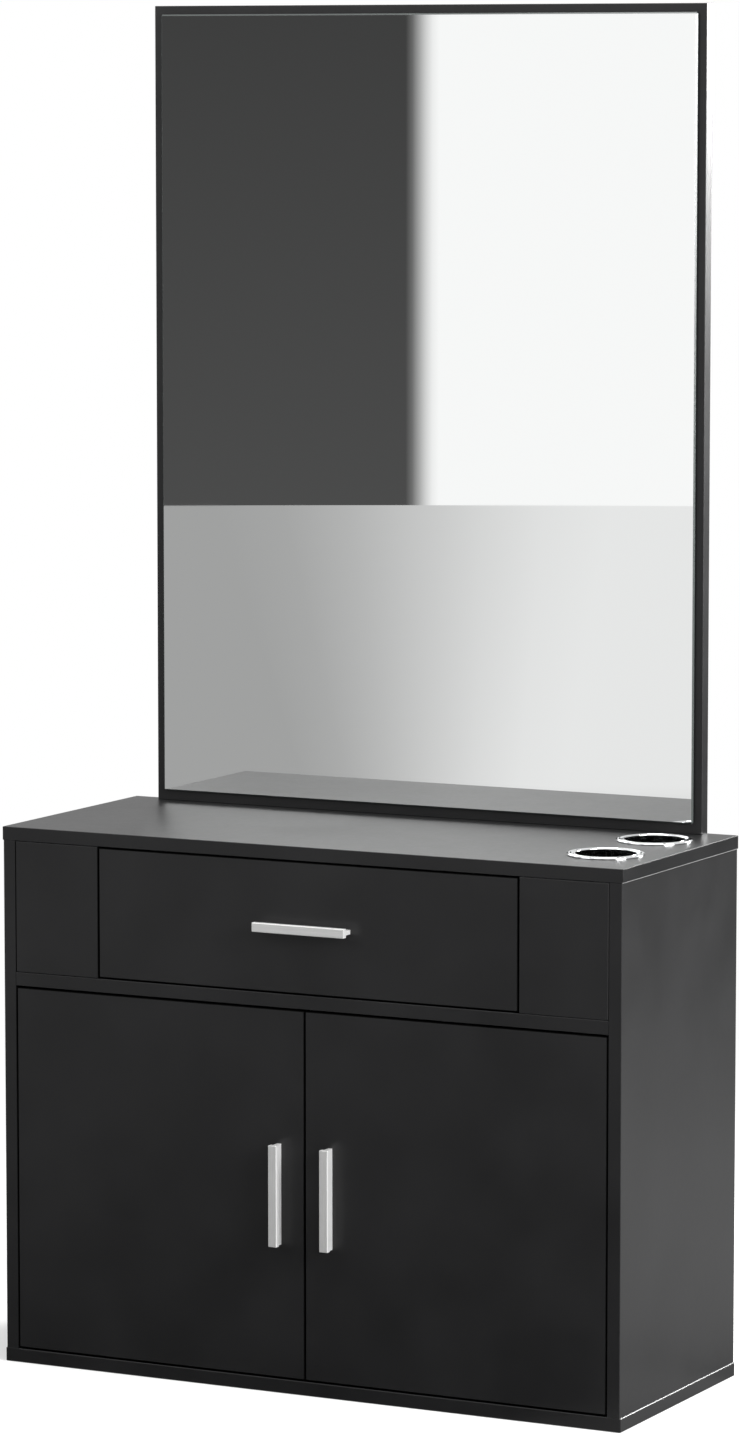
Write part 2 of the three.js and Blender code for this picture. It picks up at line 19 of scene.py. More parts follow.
import bpy
import numpy as np
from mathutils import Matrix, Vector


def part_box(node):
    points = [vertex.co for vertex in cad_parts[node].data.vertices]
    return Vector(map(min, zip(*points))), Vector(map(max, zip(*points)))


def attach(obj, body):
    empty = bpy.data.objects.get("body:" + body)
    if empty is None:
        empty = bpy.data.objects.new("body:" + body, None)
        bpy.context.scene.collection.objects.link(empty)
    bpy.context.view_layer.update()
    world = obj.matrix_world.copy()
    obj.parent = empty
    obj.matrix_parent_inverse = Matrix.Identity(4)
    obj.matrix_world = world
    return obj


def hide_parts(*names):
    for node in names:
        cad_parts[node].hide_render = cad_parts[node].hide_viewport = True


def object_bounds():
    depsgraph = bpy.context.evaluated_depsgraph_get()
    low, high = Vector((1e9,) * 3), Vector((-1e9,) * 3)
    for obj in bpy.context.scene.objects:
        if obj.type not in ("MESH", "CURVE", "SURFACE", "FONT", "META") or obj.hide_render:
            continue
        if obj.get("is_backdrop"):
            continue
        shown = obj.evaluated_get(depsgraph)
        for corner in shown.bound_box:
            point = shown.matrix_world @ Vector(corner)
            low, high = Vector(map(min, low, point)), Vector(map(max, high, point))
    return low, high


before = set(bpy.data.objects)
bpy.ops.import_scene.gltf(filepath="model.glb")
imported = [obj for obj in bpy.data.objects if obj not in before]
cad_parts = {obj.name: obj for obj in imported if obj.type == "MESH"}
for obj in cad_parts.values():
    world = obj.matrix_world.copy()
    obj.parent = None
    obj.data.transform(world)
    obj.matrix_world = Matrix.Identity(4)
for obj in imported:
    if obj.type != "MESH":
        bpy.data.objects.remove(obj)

Array = np.ndarray
Pair = tuple[float, float]
Triple = tuple[float, float, float]
Colour = Triple
Socket = bpy.types.NodeSocket
Value = float | Socket

log = logging.getLogger("styling_station")

WELD_STEP = 1e-7
SHARP_ANGLE = math.radians(35)
PLATE_EASE = 0.0003
# The ranges in which most values of a noise lie, and the two ways between zero and one.
BROAD = (0.3, 0.7)
NARROW = (0.35, 0.65)
UP = (0.0, 1.0)
DOWN = (1.0, 0.0)
# Where a step that starts at a reach is over, as a multiple of that reach.
STEP_END = 1.1


class Body(Enum):
    """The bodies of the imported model."""

    CABINET = "cabinet"
    DRAWER = "drawer"
    SLIDE_MIDDLE = "slide_middle"
    LEFT_DOOR = "left_door"
    RIGHT_DOOR = "right_door"


class Slot(Enum):
    """The record's material slots of the pieces that are built here."""

    GLASS = "mirror_glass"
    HANDLE = "handle_aluminium"
    CHROME = "ring_chrome"
    NICKEL = "hinge_nickel"
    ZINC = "slide_zinc"
    STEEL = "plate_steel"
    PLASTIC = "catch_plastic"


class Detail(Enum):
    """How much finer detail a noise has over its lumps."""

    SOFT = 2.0
    MIXED = 3.0
    RICH = 4.0
    FIBROUS = 6.0


class Axis(Enum):
    """A frame axis, by its place in a point."""

    X = 0
    Y = 1
    Z = 2

    @property
    def unit(self) -> Array:
        """The unit vector along the axis."""
        return np.eye(3)[self.value]


class Hand(Enum):
    """The left or the right of the middle plane, as the sign of x."""

    LEFT = -1
    RIGHT = 1

    @property
    def side(self) -> str:
        """The word that node names use."""
        return self.name.lower()

    @property
    def door(self) -> Body:
        """The body of the door on this side."""
        return Body[f"{self.name}_DOOR"]

    @property
    def inward(self) -> Array:
        """The unit vector towards the middle plane."""
        return -self.value * Axis.X.unit


@dataclass(frozen=True)
class Box:
    """A box, by its lowest and highest corners."""

    low: Array
    high: Array

    @classmethod
    def of(cls, node: str) -> Box:
        """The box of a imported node."""
        low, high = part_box(node)
        return cls(np.array(low), np.array(high))

    @property
    def centre(self) -> Array:
        """The middle of the box."""
        return (self.low + self.high) / 2

    @property
    def half(self) -> Array:
        """Half its size along each axis."""
        return (self.high - self.low) / 2

    def end(self, axis: Axis, way: int) -> float:
        """Its high end along an axis where way is positive, its low end where it is negative."""
        return float((self.high if way > 0 else self.low)[axis.value])

    def line(self, axis: Axis, short: float = 0.0) -> Array:
        """The middle line of the box along an axis.

        Args:
            axis: the axis.
            short: how far its high end is drawn back.

        Returns:
            The line's two ends, the low one first.
        """
        ends = np.stack([self.centre, self.centre])
        ends[:, axis.value] = self.low[axis.value], self.high[axis.value] - short
        return ends


def unit_rows(vectors: Array) -> Array:
    """Scales each row of an array of vectors to length one."""
    return vectors / np.linalg.norm(vectors, axis=-1, keepdims=True)


@dataclass
class Outline:
    """A plane outline with its outward normals.

    Attributes:
        points: its points in order, anticlockwise.
        normals: one outward unit normal for each point.
        closed: whether the last point joins the first.
    """

    points: Array
    normals: Array
    closed: bool = True

    @classmethod
    def rounded(cls, corners: Iterable[Triple], steps: int = 4, closed: bool = True) -> Outline:
        """Rounds the corners of a polygon.

        A corner's arc is centre + r n, where n turns from the normal of the side that arrives to
        that of the side that leaves. At a hollow corner the centre lies outside and r is negative.

        Args:
            corners: the place and the radius of each corner, anticlockwise.
            steps: how many steps an arc takes.
            closed: whether the polygon closes on itself.

        Returns:
            The outline, with a sharp corner where a radius is zero.
        """
        table = np.array(list(corners), float)
        corner, radius = table[:, :2], table[:, 2:]
        leaving = np.roll(corner, -1, axis=0) - corner
        arriving = np.roll(leaving, 1, axis=0)
        if not closed:
            arriving[0] = leaving[0]
            leaving[-1] = arriving[-1]
        arriving, leaving = unit_rows(arriving), unit_rows(leaving)
        crossing = arriving[:, 0] * leaving[:, 1] - arriving[:, 1] * leaving[:, 0]
        turn = np.arctan2(crossing, (arriving * leaving).sum(axis=1))[:, None]
        bend = np.where(turn < 0, -1.0, 1.0) * radius
        first_normal = np.stack([arriving[:, 1], -arriving[:, 0]], axis=1)
        centre = corner - arriving * radius * np.tan(np.abs(turn) / 2) - bend * first_normal
        angle = turn * np.linspace(0, 1, steps + 1)
        cosine, sine = np.cos(angle), np.sin(angle)
        normal_x = first_normal[:, :1] * cosine - first_normal[:, 1:] * sine
        normal_y = first_normal[:, :1] * sine + first_normal[:, 1:] * cosine
        normals = np.stack([normal_x, normal_y], axis=-1)
        points = centre[:, None, :] + bend[:, :, None] * normals
        return cls(points.reshape(-1, 2), normals.reshape(-1, 2), closed)

    @classmethod
    def rectangle(cls, across: float, upwards: float, radius: float) -> Outline:
        """A rectangle with rounded corners, by half its sides."""
        signs = ((-1, -1), (1, -1), (1, 1), (-1, 1))
        return cls.rounded([(a * across, b * upwards, radius) for a, b in signs])

    @classmethod
    def channel(cls, half: Pair, gauge: float, radii: Triple, way: int, steps: int = 4) -> Outline:
        """The C section of a channel bent from sheet.

        Args:
            half: half its width and half its height.
            gauge: the sheet's thickness.
            radii: the rounding of the lips' ends, the outer bends and the inner bends.
            way: the sign of the side on which the web lies.
            steps: how many steps a bend takes.

        Returns:
            The outline.
        """
        across, upwards = half
        web, lip = across - gauge, upwards - gauge
        end, outer, inner = radii
        corners = [
            (-across, -upwards, end), (across, -upwards, outer), (across, upwards, outer),
            (-across, upwards, end), (-across, lip, end), (web, lip, inner), (web, -lip, inner),
            (-across, -lip, end),
        ]
        return cls.rounded([(way * a, way * b, radius) for a, b, radius in corners], steps)


def grid_faces(rows: int, columns: int, wrap_rows: bool = False) -> Array:
    """The four-sided faces of a grid of points, numbered row by row. Each row closes on itself.

    Args:
        rows: how many rows the grid has.
        columns: how many points a row has.
        wrap_rows: whether the last row joins the first.

    Returns:
        Four point indices for each face.
    """
    row = np.arange(rows if wrap_rows else rows - 1)[:, None]
    column = np.arange(columns)[None, :]
    next_row, next_column = (row + 1) % rows, (column + 1) % columns
    pairs = ((row, column), (row, next_column), (next_row, next_column), (next_row, column))
    return np.stack([r * columns + c for r, c in pairs], axis=-1).reshape(-1, 4)


@dataclass
class Surface:
    """Points, faces and normals that a mesh is made from.

    Attributes:
        points: one row for each point. Points in one place become one vertex.
        faces: index arrays, each holding faces with the same number of corners.
        normals: one row for each point, or None to round them off below the sharp angle.
    """

    points: Array
    faces: list[Array]
    normals: Array | None = None

    @classmethod
    def grid(cls, points: Array, normals: Array | None = None, wrap_rows: bool = False) -> Surface:
        """Joins a grid of points by four-sided faces.

        Args:
            points: rows by columns by three. Each row closes on itself.
            normals: the same, or None.
            wrap_rows: whether the last row joins the first.

        Returns:
            The surface of the grid.
        """
        faces = grid_faces(*points.shape[:2], wrap_rows)
        flat_normals = None if normals is None else normals.reshape(-1, 3)
        return cls(points.reshape(-1, 3), [faces], flat_normals)

    def __add__(self, other: Surface) -> Surface:
        """Joins two surfaces, each with its own points.

        Args:
            other: the second surface.

        Returns:
            Both as one, without normals where one of them has none.
        """
        shifted = [faces + len(self.points) for faces in other.faces]
        normals = None
        if self.normals is not None and other.normals is not None:
            normals = np.concatenate([self.normals, other.normals])
        return Surface(np.concatenate([self.points, other.points]), self.faces + shifted, normals)

    def capped(self, ring: Array, normal: Array) -> Surface:
        """Closes a ring of points, in order as seen from outside, by one flat face."""
        face = np.arange(len(ring))[None, :]
        return self + Surface(self.points[ring], [face], np.tile(normal, (len(ring), 1)))

    def _welded(self) -> tuple[Array, list[Array], list[Array]]:
        """Joins points in one place and drops corners that this doubles.

        Returns:
            The vertices, the faces as vertex indices, and the same faces as point indices.
        """
        keys = np.round(self.points / WELD_STEP).astype(np.int64)
        _, first, vertex = np.unique(keys, axis=0, return_index=True, return_inverse=True)
        vertex = vertex.ravel()
        kept: list[Array] = []
        for faces in self.faces:
            same = vertex[faces] == vertex[np.roll(faces, -1, axis=1)]
            doubled = same.sum(axis=1)
            kept.append(faces[doubled == 0])
            if faces.shape[1] > 4:
                kept += [face[~row][None, :] for face, row in zip(faces, same) if row.any()]
                continue
            for corner in range(faces.shape[1]):
                narrowed = faces[(doubled == 1) & same[:, corner]]
                kept.append(np.delete(narrowed, corner, axis=1))
        kept = [faces for faces in kept if len(faces) and faces.shape[1] > 2]
        return self.points[first], [vertex[faces] for faces in kept], kept

    def mesh(self, name: str) -> bpy.types.Mesh:
        """Makes the mesh, with its faces pointing outwards.

        The volume is the sum of v0 . (v1 x v2) over fans of triangles, and a negative one means
        that the faces are wound inwards.

        Args:
            name: the mesh's name.

        Returns:
            The mesh.
        """
        vertices, faces, sources = self._welded()
        volume = 0.0
        for group in faces:
            corner = vertices[group]
            fan = np.cross(corner[:, 1:-1], corner[:, 2:])
            volume += float((corner[:, :1] * fan).sum())
        if volume < 0:
            faces = [group[:, ::-1] for group in faces]
            sources = [group[:, ::-1] for group in sources]
        mesh = bpy.data.meshes.new(name)
        mesh.from_pydata(vertices.tolist(), [], [face for group in faces for face in group.tolist()])
        mesh.shade_smooth()
        if self.normals is None:
            mesh.set_sharp_from_angle(angle=SHARP_ANGLE)
        else:
            order = np.concatenate([group.ravel() for group in sources])
            mesh.normals_split_custom_set(self.normals[order].tolist())
        mesh.update()
        return mesh


def joined(surfaces: Iterable[Surface]) -> Surface:
    """Several surfaces as one."""
    return functools.reduce(Surface.__add__, surfaces)


def rounded_box(low: Array, high: Array, radius: float, steps: int = 3) -> Surface:
    """A box whose edges and corners are rounded.

    A point is centre + sign * (half size - r) + r n, for n over the unit sphere and the sign of
    each of its eight octants.

    Args:
        low: the lowest corner.
        high: the highest corner.
        radius: the rounding.
        steps: how many steps a quarter turn takes.

    Returns:
        The closed surface.
    """
    right_angle = math.pi / 2
    quarter = np.linspace(0, right_angle, steps + 1)
    turn = (quarter[None, :] + np.arange(4)[:, None] * right_angle).ravel()
    rise = np.concatenate([quarter - right_angle, quarter])
    rise_grid, turn_grid = np.meshgrid(rise, turn, indexing="ij")
    level = np.cos(rise_grid)
    normals = np.stack([level * np.cos(turn_grid), level * np.sin(turn_grid), np.sin(rise_grid)], axis=-1)
    octant = np.repeat((np.arange(4) + 0.5) * right_angle, steps + 1)
    signs = np.empty_like(normals)
    signs[..., 0] = np.sign(np.cos(octant))
    signs[..., 1] = np.sign(np.sin(octant))
    signs[..., 2] = np.repeat([-1.0, 1.0], steps + 1)[:, None]
    points = (low + high) / 2 + signs * ((high - low) / 2 - radius) + radius * normals
    columns = len(turn)
    ring = np.arange(columns)
    side = Surface.grid(points, normals).capped(ring[::-1], -Axis.Z.unit)
    return side.capped(ring + (len(rise) - 1) * columns, Axis.Z.unit)


def turned(outline: Outline, centre: Array, axis: Array, segments: int) -> Surface:
    """A body of revolution.

    A point is centre + r (cos a e1 + sin a e2) + h axis, for each (r, h) of the outline.

    Args:
        outline: radius and height; an open one starts and ends on the axis.
        centre: where height and radius are zero.
        axis: the unit vector along which height grows.
        segments: how many steps one turn takes.

    Returns:
        The closed surface.
    """
    helper = Axis.X.unit if abs(axis[0]) < 0.5 else Axis.Y.unit
    first = unit_rows(np.cross(axis, helper))
    second = np.cross(axis, first)
    angle = np.linspace(0, 2 * math.pi, segments, endpoint=False)
    spoke = np.cos(angle)[:, None] * first + np.sin(angle)[:, None] * second

    def spun(values: Array) -> Array:
        """Carries plane values round the axis."""
        return values[:, None, :1] * spoke[None] + values[:, None, 1:] * axis

    points = np.asarray(centre) + spun(outline.points)
    return Surface.grid(points, spun(outline.normals), wrap_rows=outline.closed)


def swept(outline: Outline, path: Array, up: Array, ease: float = 0.0, steps: int = 3) -> Surface:
    """Carries an outline along a path, with both ends eased.

    A point is p + a side + b up for each (a, b) of the outline, where side is up x tangent. At an
    end the outline draws in along its normals by e (1 - cos t) while it moves out by e sin t.

    Args:
        outline: across and upwards, anticlockwise as seen against the path.
        path: the path's points.
        up: the unit vector that stays upright.
        ease: the rounding of the ends.
        steps: how many steps the rounding takes.

    Returns:
        The closed surface.
    """
    tangent = unit_rows(np.gradient(path, axis=0))
    quarter = np.linspace(0, math.pi / 2, steps + 1) if ease > 0 else np.zeros(1)
    level = np.zeros(max(len(path) - 2, 0))
    tilt = np.concatenate([-quarter[::-1], level, quarter])
    repeat = np.ones(len(path), int)
    repeat[0] = repeat[-1] = len(quarter)
    along = np.repeat(path, repeat, axis=0)
    tangent = np.repeat(tangent, repeat, axis=0)
    side = unit_rows(np.cross(up, tangent))
    ends = np.concatenate([np.ones(len(quarter)), level, -np.ones(len(quarter))])
    along = along + tangent * (ends * ease + ease * np.sin(tilt))[:, None]
    inset = ease * (1 - np.cos(tilt))[:, None, None]
    drawn = outline.points[None] - inset * outline.normals[None]
    points = along[:, None] + drawn[..., :1] * side[:, None] + drawn[..., 1:] * up
    normals = outline.normals[None, :, :1] * side[:, None] + outline.normals[None, :, 1:] * up
    normals = normals * np.cos(tilt)[:, None, None] + tangent[:, None] * np.sin(tilt)[:, None, None]
    ring = np.arange(len(outline.points))
    surface = Surface.grid(points, normals).capped(ring[::-1], -tangent[0])
    return surface.capped(ring + (len(along) - 1) * len(ring), tangent[-1])


def flat_plate(box: Box, axis: Axis, corner: float, sunk: float = 0.0) -> Surface:
    """A plate with rounded corners that fills a box, but for its high side.

    Args:
        box: the box.
        axis: the axis through the plate's thickness, X or Y.
        corner: the corners' radius.
        sunk: how far its high side lies below the box's.

    Returns:
        The plate.
    """
    across = Axis.Y if axis is Axis.X else Axis.X
    outline = Outline.rectangle(box.half[across.value], box.half[2], corner)
    return swept(outline, box.line(axis, sunk), Axis.Z.unit, PLATE_EASE)


class Finish(Protocol):
    """Anything that makes a material."""

    def material(self) -> bpy.types.Material:
        """Makes the material."""


@functools.cache
def made(finish: Finish) -> bpy.types.Material:
    """The material of a finish, made once."""
    return finish.material()


def add_piece(
    name: str, surface: Surface, body: Body, finish: Finish,
    stands_for: Iterable[str] = (),
) -> bpy.types.Object:
    """Adds a finished piece to the scene.

    Args:
        name: the piece's name.
        surface: its shape, in the model's frame.
        body: the body that it rides on.
        finish: its finish.
        stands_for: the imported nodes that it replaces.

    Returns:
        The piece.
    """
    piece = bpy.data.objects.new(name, surface.mesh(name))
    bpy.context.scene.collection.objects.link(piece)
    piece.data.materials.append(made(finish))
    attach(piece, body.value)
    nodes = list(stands_for)
    if nodes:
        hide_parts(*nodes)
    log.info("%s: %d faces on %s", name, len(piece.data.polygons), body.value)
    return piece


class Graph:
    """The nodes of a material or a world, with one short call for each kind used here."""

    def __init__(self, owner: bpy.types.Material | bpy.types.World) -> None:
        """Empties the owner's node tree.

        Args:
            owner: the material or the world.
        """
        self.owner = owner
        owner.use_nodes = True
        self.tree = owner.node_tree
        self.tree.nodes.clear()
        self._place: Socket | None = None

    @classmethod
    def named(cls, name: str) -> Graph:
        """Starts a material."""
        return cls(bpy.data.materials.new(name))

    def feed(self, socket: Socket, value: object) -> None:
        """Links a socket to another one, or sets its value, a colour's with full cover.

        Args:
            socket: the socket to fill.
            value: another socket, a number, a colour, or None to leave it as it is.
        """
        if isinstance(value, Socket):
            self.tree.links.new(value, socket)
        elif isinstance(value, tuple) and socket.type == "RGBA":
            socket.default_value = (*value, 1.0)
        elif value is not None:
            socket.default_value = value

    def node(self, kind: str, inputs: dict[str | int, object], **settings: object) -> bpy.types.Node:
        """Adds a node.

        Args:
            kind: the node type's name after ShaderNode.
            inputs: a value or a socket for each named or numbered input.
            settings: the node's own settings.

        Returns:
            The node.
        """
        node = self.tree.nodes.new(f"ShaderNode{kind}")
        for key, value in settings.items():
            setattr(node, key, value)
        for key, value in inputs.items():
            self.feed(node.inputs[key], value)
        return node

    def place(self) -> Socket:
        """Object coordinates, which are the model's frame.

        Returns:
            Their socket, which is made once for a graph.
        """
        if self._place is None:
            self._place = self.node("TexCoord", {}).outputs["Object"]
        return self._place

    def axes(self) -> list[Socket]:
        """The three object coordinates."""
        return list(self.node("SeparateXYZ", {0: self.place()}).outputs)

    def stretched(self, scale: Triple) -> Socket:
        """Object coordinates scaled along each axis."""
        return self.node("Mapping", {"Vector": self.place(), "Scale": scale}).outputs[0]

    def stored(self, key: str) -> Socket:
        """A number that is stored with the mesh's points."""
        return self.node("Attribute", {}, attribute_name=key).outputs["Fac"]

    def math(self, operation: str, first: Value, second: Value = 0.0) -> Socket:
        """One sum on two values."""
        return self.node("Math", {0: first, 1: second}, operation=operation).outputs[0]

    def times(self, first: Value, second: Value) -> Socket:
        """The product of two values."""
        return self.math("MULTIPLY", first, second)

    def walls(self, box: Box) -> dict[str, Socket]:
        """The distance from a point to each side of a box.

        Args:
            box: the box.

        Returns:
            The distances, under names such as "+Y".
        """
        walls: dict[str, Socket] = {}
        for axis, coordinate in zip(Axis, self.axes()):
            walls[f"-{axis.name}"] = self.math("SUBTRACT", coordinate, box.end(axis, -1))
            walls[f"+{axis.name}"] = self.math("SUBTRACT", box.end(axis, 1), coordinate)
        return walls

    def least(self, values: list[Socket]) -> Value:
        """The least of some distances, or a whole metre where there are none."""
        return functools.reduce(lambda a, b: self.math("MINIMUM", a, b), values or [1.0])

    def noise(self, size: float, detail: Detail = Detail.SOFT, vector: Socket | None = None) -> Socket:
        """Soft noise whose lumps are about size metres across, from 0 to 1."""
        inputs = {"Vector": vector or self.place(), "Scale": 1 / size, "Detail": detail.value}
        return self.node("TexNoise", inputs).outputs[0]

    def cells(self, size: float) -> bpy.types.Node:
        """Cells about size metres across."""
        return self.node("TexVoronoi", {"Vector": self.place(), "Scale": 1 / size})

    def remap(self, value: Value, source: Pair, target: Pair = UP, smooth: bool = False) -> Socket:
        """Carries a value from one range to another, held at its ends.

        Args:
            value: the value.
            source: the range it has.
            target: the range it gets.
            smooth: whether it leaves and arrives level.

        Returns:
            The new value.
        """
        inputs = {0: value, 1: source[0], 2: source[1], 3: target[0], 4: target[1]}
        kind = "SMOOTHSTEP" if smooth else "LINEAR"
        return self.node("MapRange", inputs, interpolation_type=kind).outputs[0]

    def step(self, value: Value, reach: float, target: Pair = DOWN) -> Socket:
        """Carries a value to the target's first end up to a reach, and to its second past it."""
        return self.remap(value, (reach, reach * STEP_END), target)

    def blend(self, share: Value, first: Colour | Socket, second: Colour | Socket) -> Socket:
        """A colour between two, the second at a share of one."""
        return self.node("Mix", {0: share, 6: first, 7: second}, data_type="RGBA").outputs[2]

    def between(self, share: Value, first: Value, second: Value) -> Socket:
        """A number between two, the second at a share of one."""
        return self.node("Mix", {0: share, 2: first, 3: second}).outputs[0]

    def bump(self, height: Value, depth: float) -> Socket:
        """The normal of a surface that rises by depth metres where height is one."""
        return self.node("Bump", {"Height": height, "Distance": depth}).outputs[0]

    def end(self, shader: Socket) -> bpy.types.Material | bpy.types.World:
        """Gives the owner its shader.

        Args:
            shader: the shader's socket.

        Returns:
            The owner.
        """
        kind = "World" if isinstance(self.owner, bpy.types.World) else "Material"
        self.node(f"Output{kind}", {0: shader})
        return self.owner

    def show(self, **sockets: object) -> bpy.types.Material:
        """Ends a material in one shader.

        Args:
            sockets: the shader's inputs, with underscores for spaces.

        Returns:
            The material.
        """
        inputs = {key.replace("_", " "): value for key, value in sockets.items()}
        return self.end(self.node("BsdfPrincipled", inputs).outputs[0])


def scaled(colour: Colour, share: float) -> Colour:
    """A colour made darker or paler, at most white."""
    return tuple(min(1.0, channel * share) for channel in colour)


@dataclass(frozen=True)
class Melamine:
    """Satin melamine on chipboard, with a plastic band on the edges that show.

    A point deeper in the board than the paper is bare chipboard, so bores, grooves and the edges
    without a band show it. Relief is in multiples of the pearl's depth. A pale line on the overhanging
    arris is a painted highlight, and the sides in a front gap get painted shade.
    """

    colour: Colour = (0.006, 0.006, 0.0063)
    cloud_lift: float = 1.35
    cloud_size: float = 0.11
    rubs_per_cloud: float = 14.0
    roughness: float = 0.36
    roughness_spread: float = 0.022
    patch_share: float = 0.5
    patch_span: Pair = (0.5, 1.0)
    polish: float = 0.03
    refraction: float = 1.38
    sheen: float = 0.5
    pearl_size: float = 0.0011
    pearl_depth: float = 0.000018
    band_width: float = 0.001
    band_end: float = 1.02
    seam_width: float = 0.00012
    seam_relief: float = 2.0
    paper_depth: float = 0.0007
    wear_reach: float = 0.0009
    wear_start: float = 0.45
    wear_spread: Pair = (0.35, 1.0)
    worn: Colour = (0.012, 0.012, 0.0125)
    overhang: float = 0.0016
    # Painted highlight: a pale line on the overhanging arris, paler under the top board than over the
    # bottom one, as light falls.
    scraped_width: float = 0.0012
    scraped_start: float = 0.7
    scraped_spread: Pair = (0.7, 1.0)
    scraped_under: Colour = (0.2, 0.2, 0.2)
    scraped_over: Colour = (0.05, 0.05, 0.05)
    # Painted shade: the sides and arrises in a front gap are nearly black, matt and with little sheen.
    gap_reach: float = 0.019
    gap_arris: float = 0.0006
    gap_colour: Colour = (0.0015, 0.0015, 0.0015)
    gap_roughness: float = 0.8
    gap_sheen: float = 0.08
    chip_size: float = 0.0032
    flakes_per_chip: float = 3.0
    chip_relief: float = 9.0
    chip_roughness: float = 0.9
    chip_pale: Colour = (0.42, 0.27, 0.14)
    chip_dark: Colour = (0.16, 0.09, 0.045)

    def _scraped(self, graph: Graph, walls: dict[str, Socket], across: Socket, side: str) -> Socket:
        """Marks the arris of the overhanging ends, where a pale line is painted as a highlight.

        Args:
            graph: the material's graph.
            walls: the distances to the board's sides.
            across: the distance to the nearer end.
            side: the side, such as "-Z", at which the arris lies.

        Returns:
            One on the line, zero off it.
        """
        start = self.scraped_width * self.scraped_start
        line = graph.remap(walls[side], (start, self.scraped_width), DOWN)
        return graph.times(line, graph.step(across, self.overhang))

    def _gap(self, graph: Graph, walls: dict[str, Socket], sides: str) -> Socket:
        """Marks the sides and arrises that lie in a gap of the front, where shade is painted as a black
        line.

        Args:
            graph: the material's graph.
            walls: the distances to the board's sides.
            sides: the sides that face a gap.

        Returns:
            One in the gap, zero elsewhere.
        """
        nearest = graph.least([walls[side] for side in sorted(sides.split())])
        return graph.times(graph.step(nearest, self.gap_arris), graph.step(walls["-Y"], self.gap_reach))

    def material(self, board: Board) -> bpy.types.Material:
        """Makes the finish for one board.

        Args:
            board: the board.

        Returns:
            The material.
        """
        graph = Graph.named(f"melamine_{board.node}")
        box = Box.of(board.node)
        thickness = Axis(int(np.argmin(box.half)))
        walls = graph.walls(box)
        finished = {side: wall for side, wall in walls.items() if side not in board.bare}
        depth = graph.least(list(finished.values()))
        from_band = graph.least([wall for side, wall in finished.items() if side[1] != thickness.name])
        near = [graph.least([walls[f"-{axis.name}"], walls[f"+{axis.name}"]]) for axis in Axis]
        smaller = graph.math("MINIMUM", near[0], near[1])
        larger = graph.math("MAXIMUM", near[0], near[1])
        arris = graph.math("MAXIMUM", smaller, graph.math("MINIMUM", larger, near[2]))
        core = graph.step(depth, self.paper_depth, UP)
        band = graph.remap(from_band, (self.band_width, self.band_width * self.band_end), DOWN)
        off_seam = graph.math("ABSOLUTE", graph.math("SUBTRACT", from_band, self.band_width))
        seam = graph.remap(off_seam, (self.seam_width / 2, self.seam_width), DOWN, smooth=True)
        pearl = graph.noise(self.pearl_size, Detail.MIXED)
        cloud = graph.noise(self.cloud_size, Detail.MIXED)
        rubbed = graph.noise(self.cloud_size / self.rubs_per_cloud, Detail.RICH)
        chips = graph.cells(self.chip_size).outputs[0]
        flake = graph.noise(self.chip_size / self.flakes_per_chip, Detail.RICH)

        face = graph.blend(graph.remap(cloud, BROAD), self.colour, scaled(self.colour, self.cloud_lift))
        wear_start = self.wear_reach * self.wear_start
        wear = graph.remap(arris, (wear_start, self.wear_reach), DOWN, smooth=True)
        wear = graph.times(wear, graph.remap(rubbed, NARROW, self.wear_spread))
        face = graph.blend(wear, face, self.worn)
        # Painted highlight along the overhanging arris.
        if board.scraped:
            line = self._scraped(graph, walls, near[0], board.scraped)
            line = graph.times(line, graph.remap(rubbed, BROAD, self.scraped_spread))
            tone = self.scraped_under if board.scraped.startswith("-") else self.scraped_over
            face = graph.blend(line, face, tone)
        # Painted shade in the front gaps.
        gap_shade = self._gap(graph, walls, board.gaps) if board.gaps else 0.0
        face = graph.blend(gap_shade, face, self.gap_colour)
        wood = graph.blend(graph.times(chips, flake), self.chip_dark, self.chip_pale)

        patches = graph.math("ADD", cloud, graph.times(rubbed, self.patch_share))
        span = (self.roughness - self.roughness_spread, self.roughness + self.roughness_spread)
        polished = graph.times(graph.math("ADD", band, wear), self.polish)
        satin = graph.math("SUBTRACT", graph.remap(patches, self.patch_span, span), polished)
        rough = graph.between(gap_shade, satin, self.gap_roughness)
        texture = graph.times(pearl, graph.math("SUBTRACT", 1.0, band))
        height = graph.math("SUBTRACT", texture, graph.times(seam, self.seam_relief))
        height = graph.math("ADD", height, graph.times(core, graph.times(flake, self.chip_relief)))
        return graph.show(
            Base_Color=graph.blend(core, face, wood),
            Roughness=graph.between(core, rough, self.chip_roughness),
            Normal=graph.bump(height, self.pearl_depth),
            IOR=self.refraction,
            Specular_IOR_Level=graph.between(gap_shade, self.sheen, self.gap_sheen),
        )


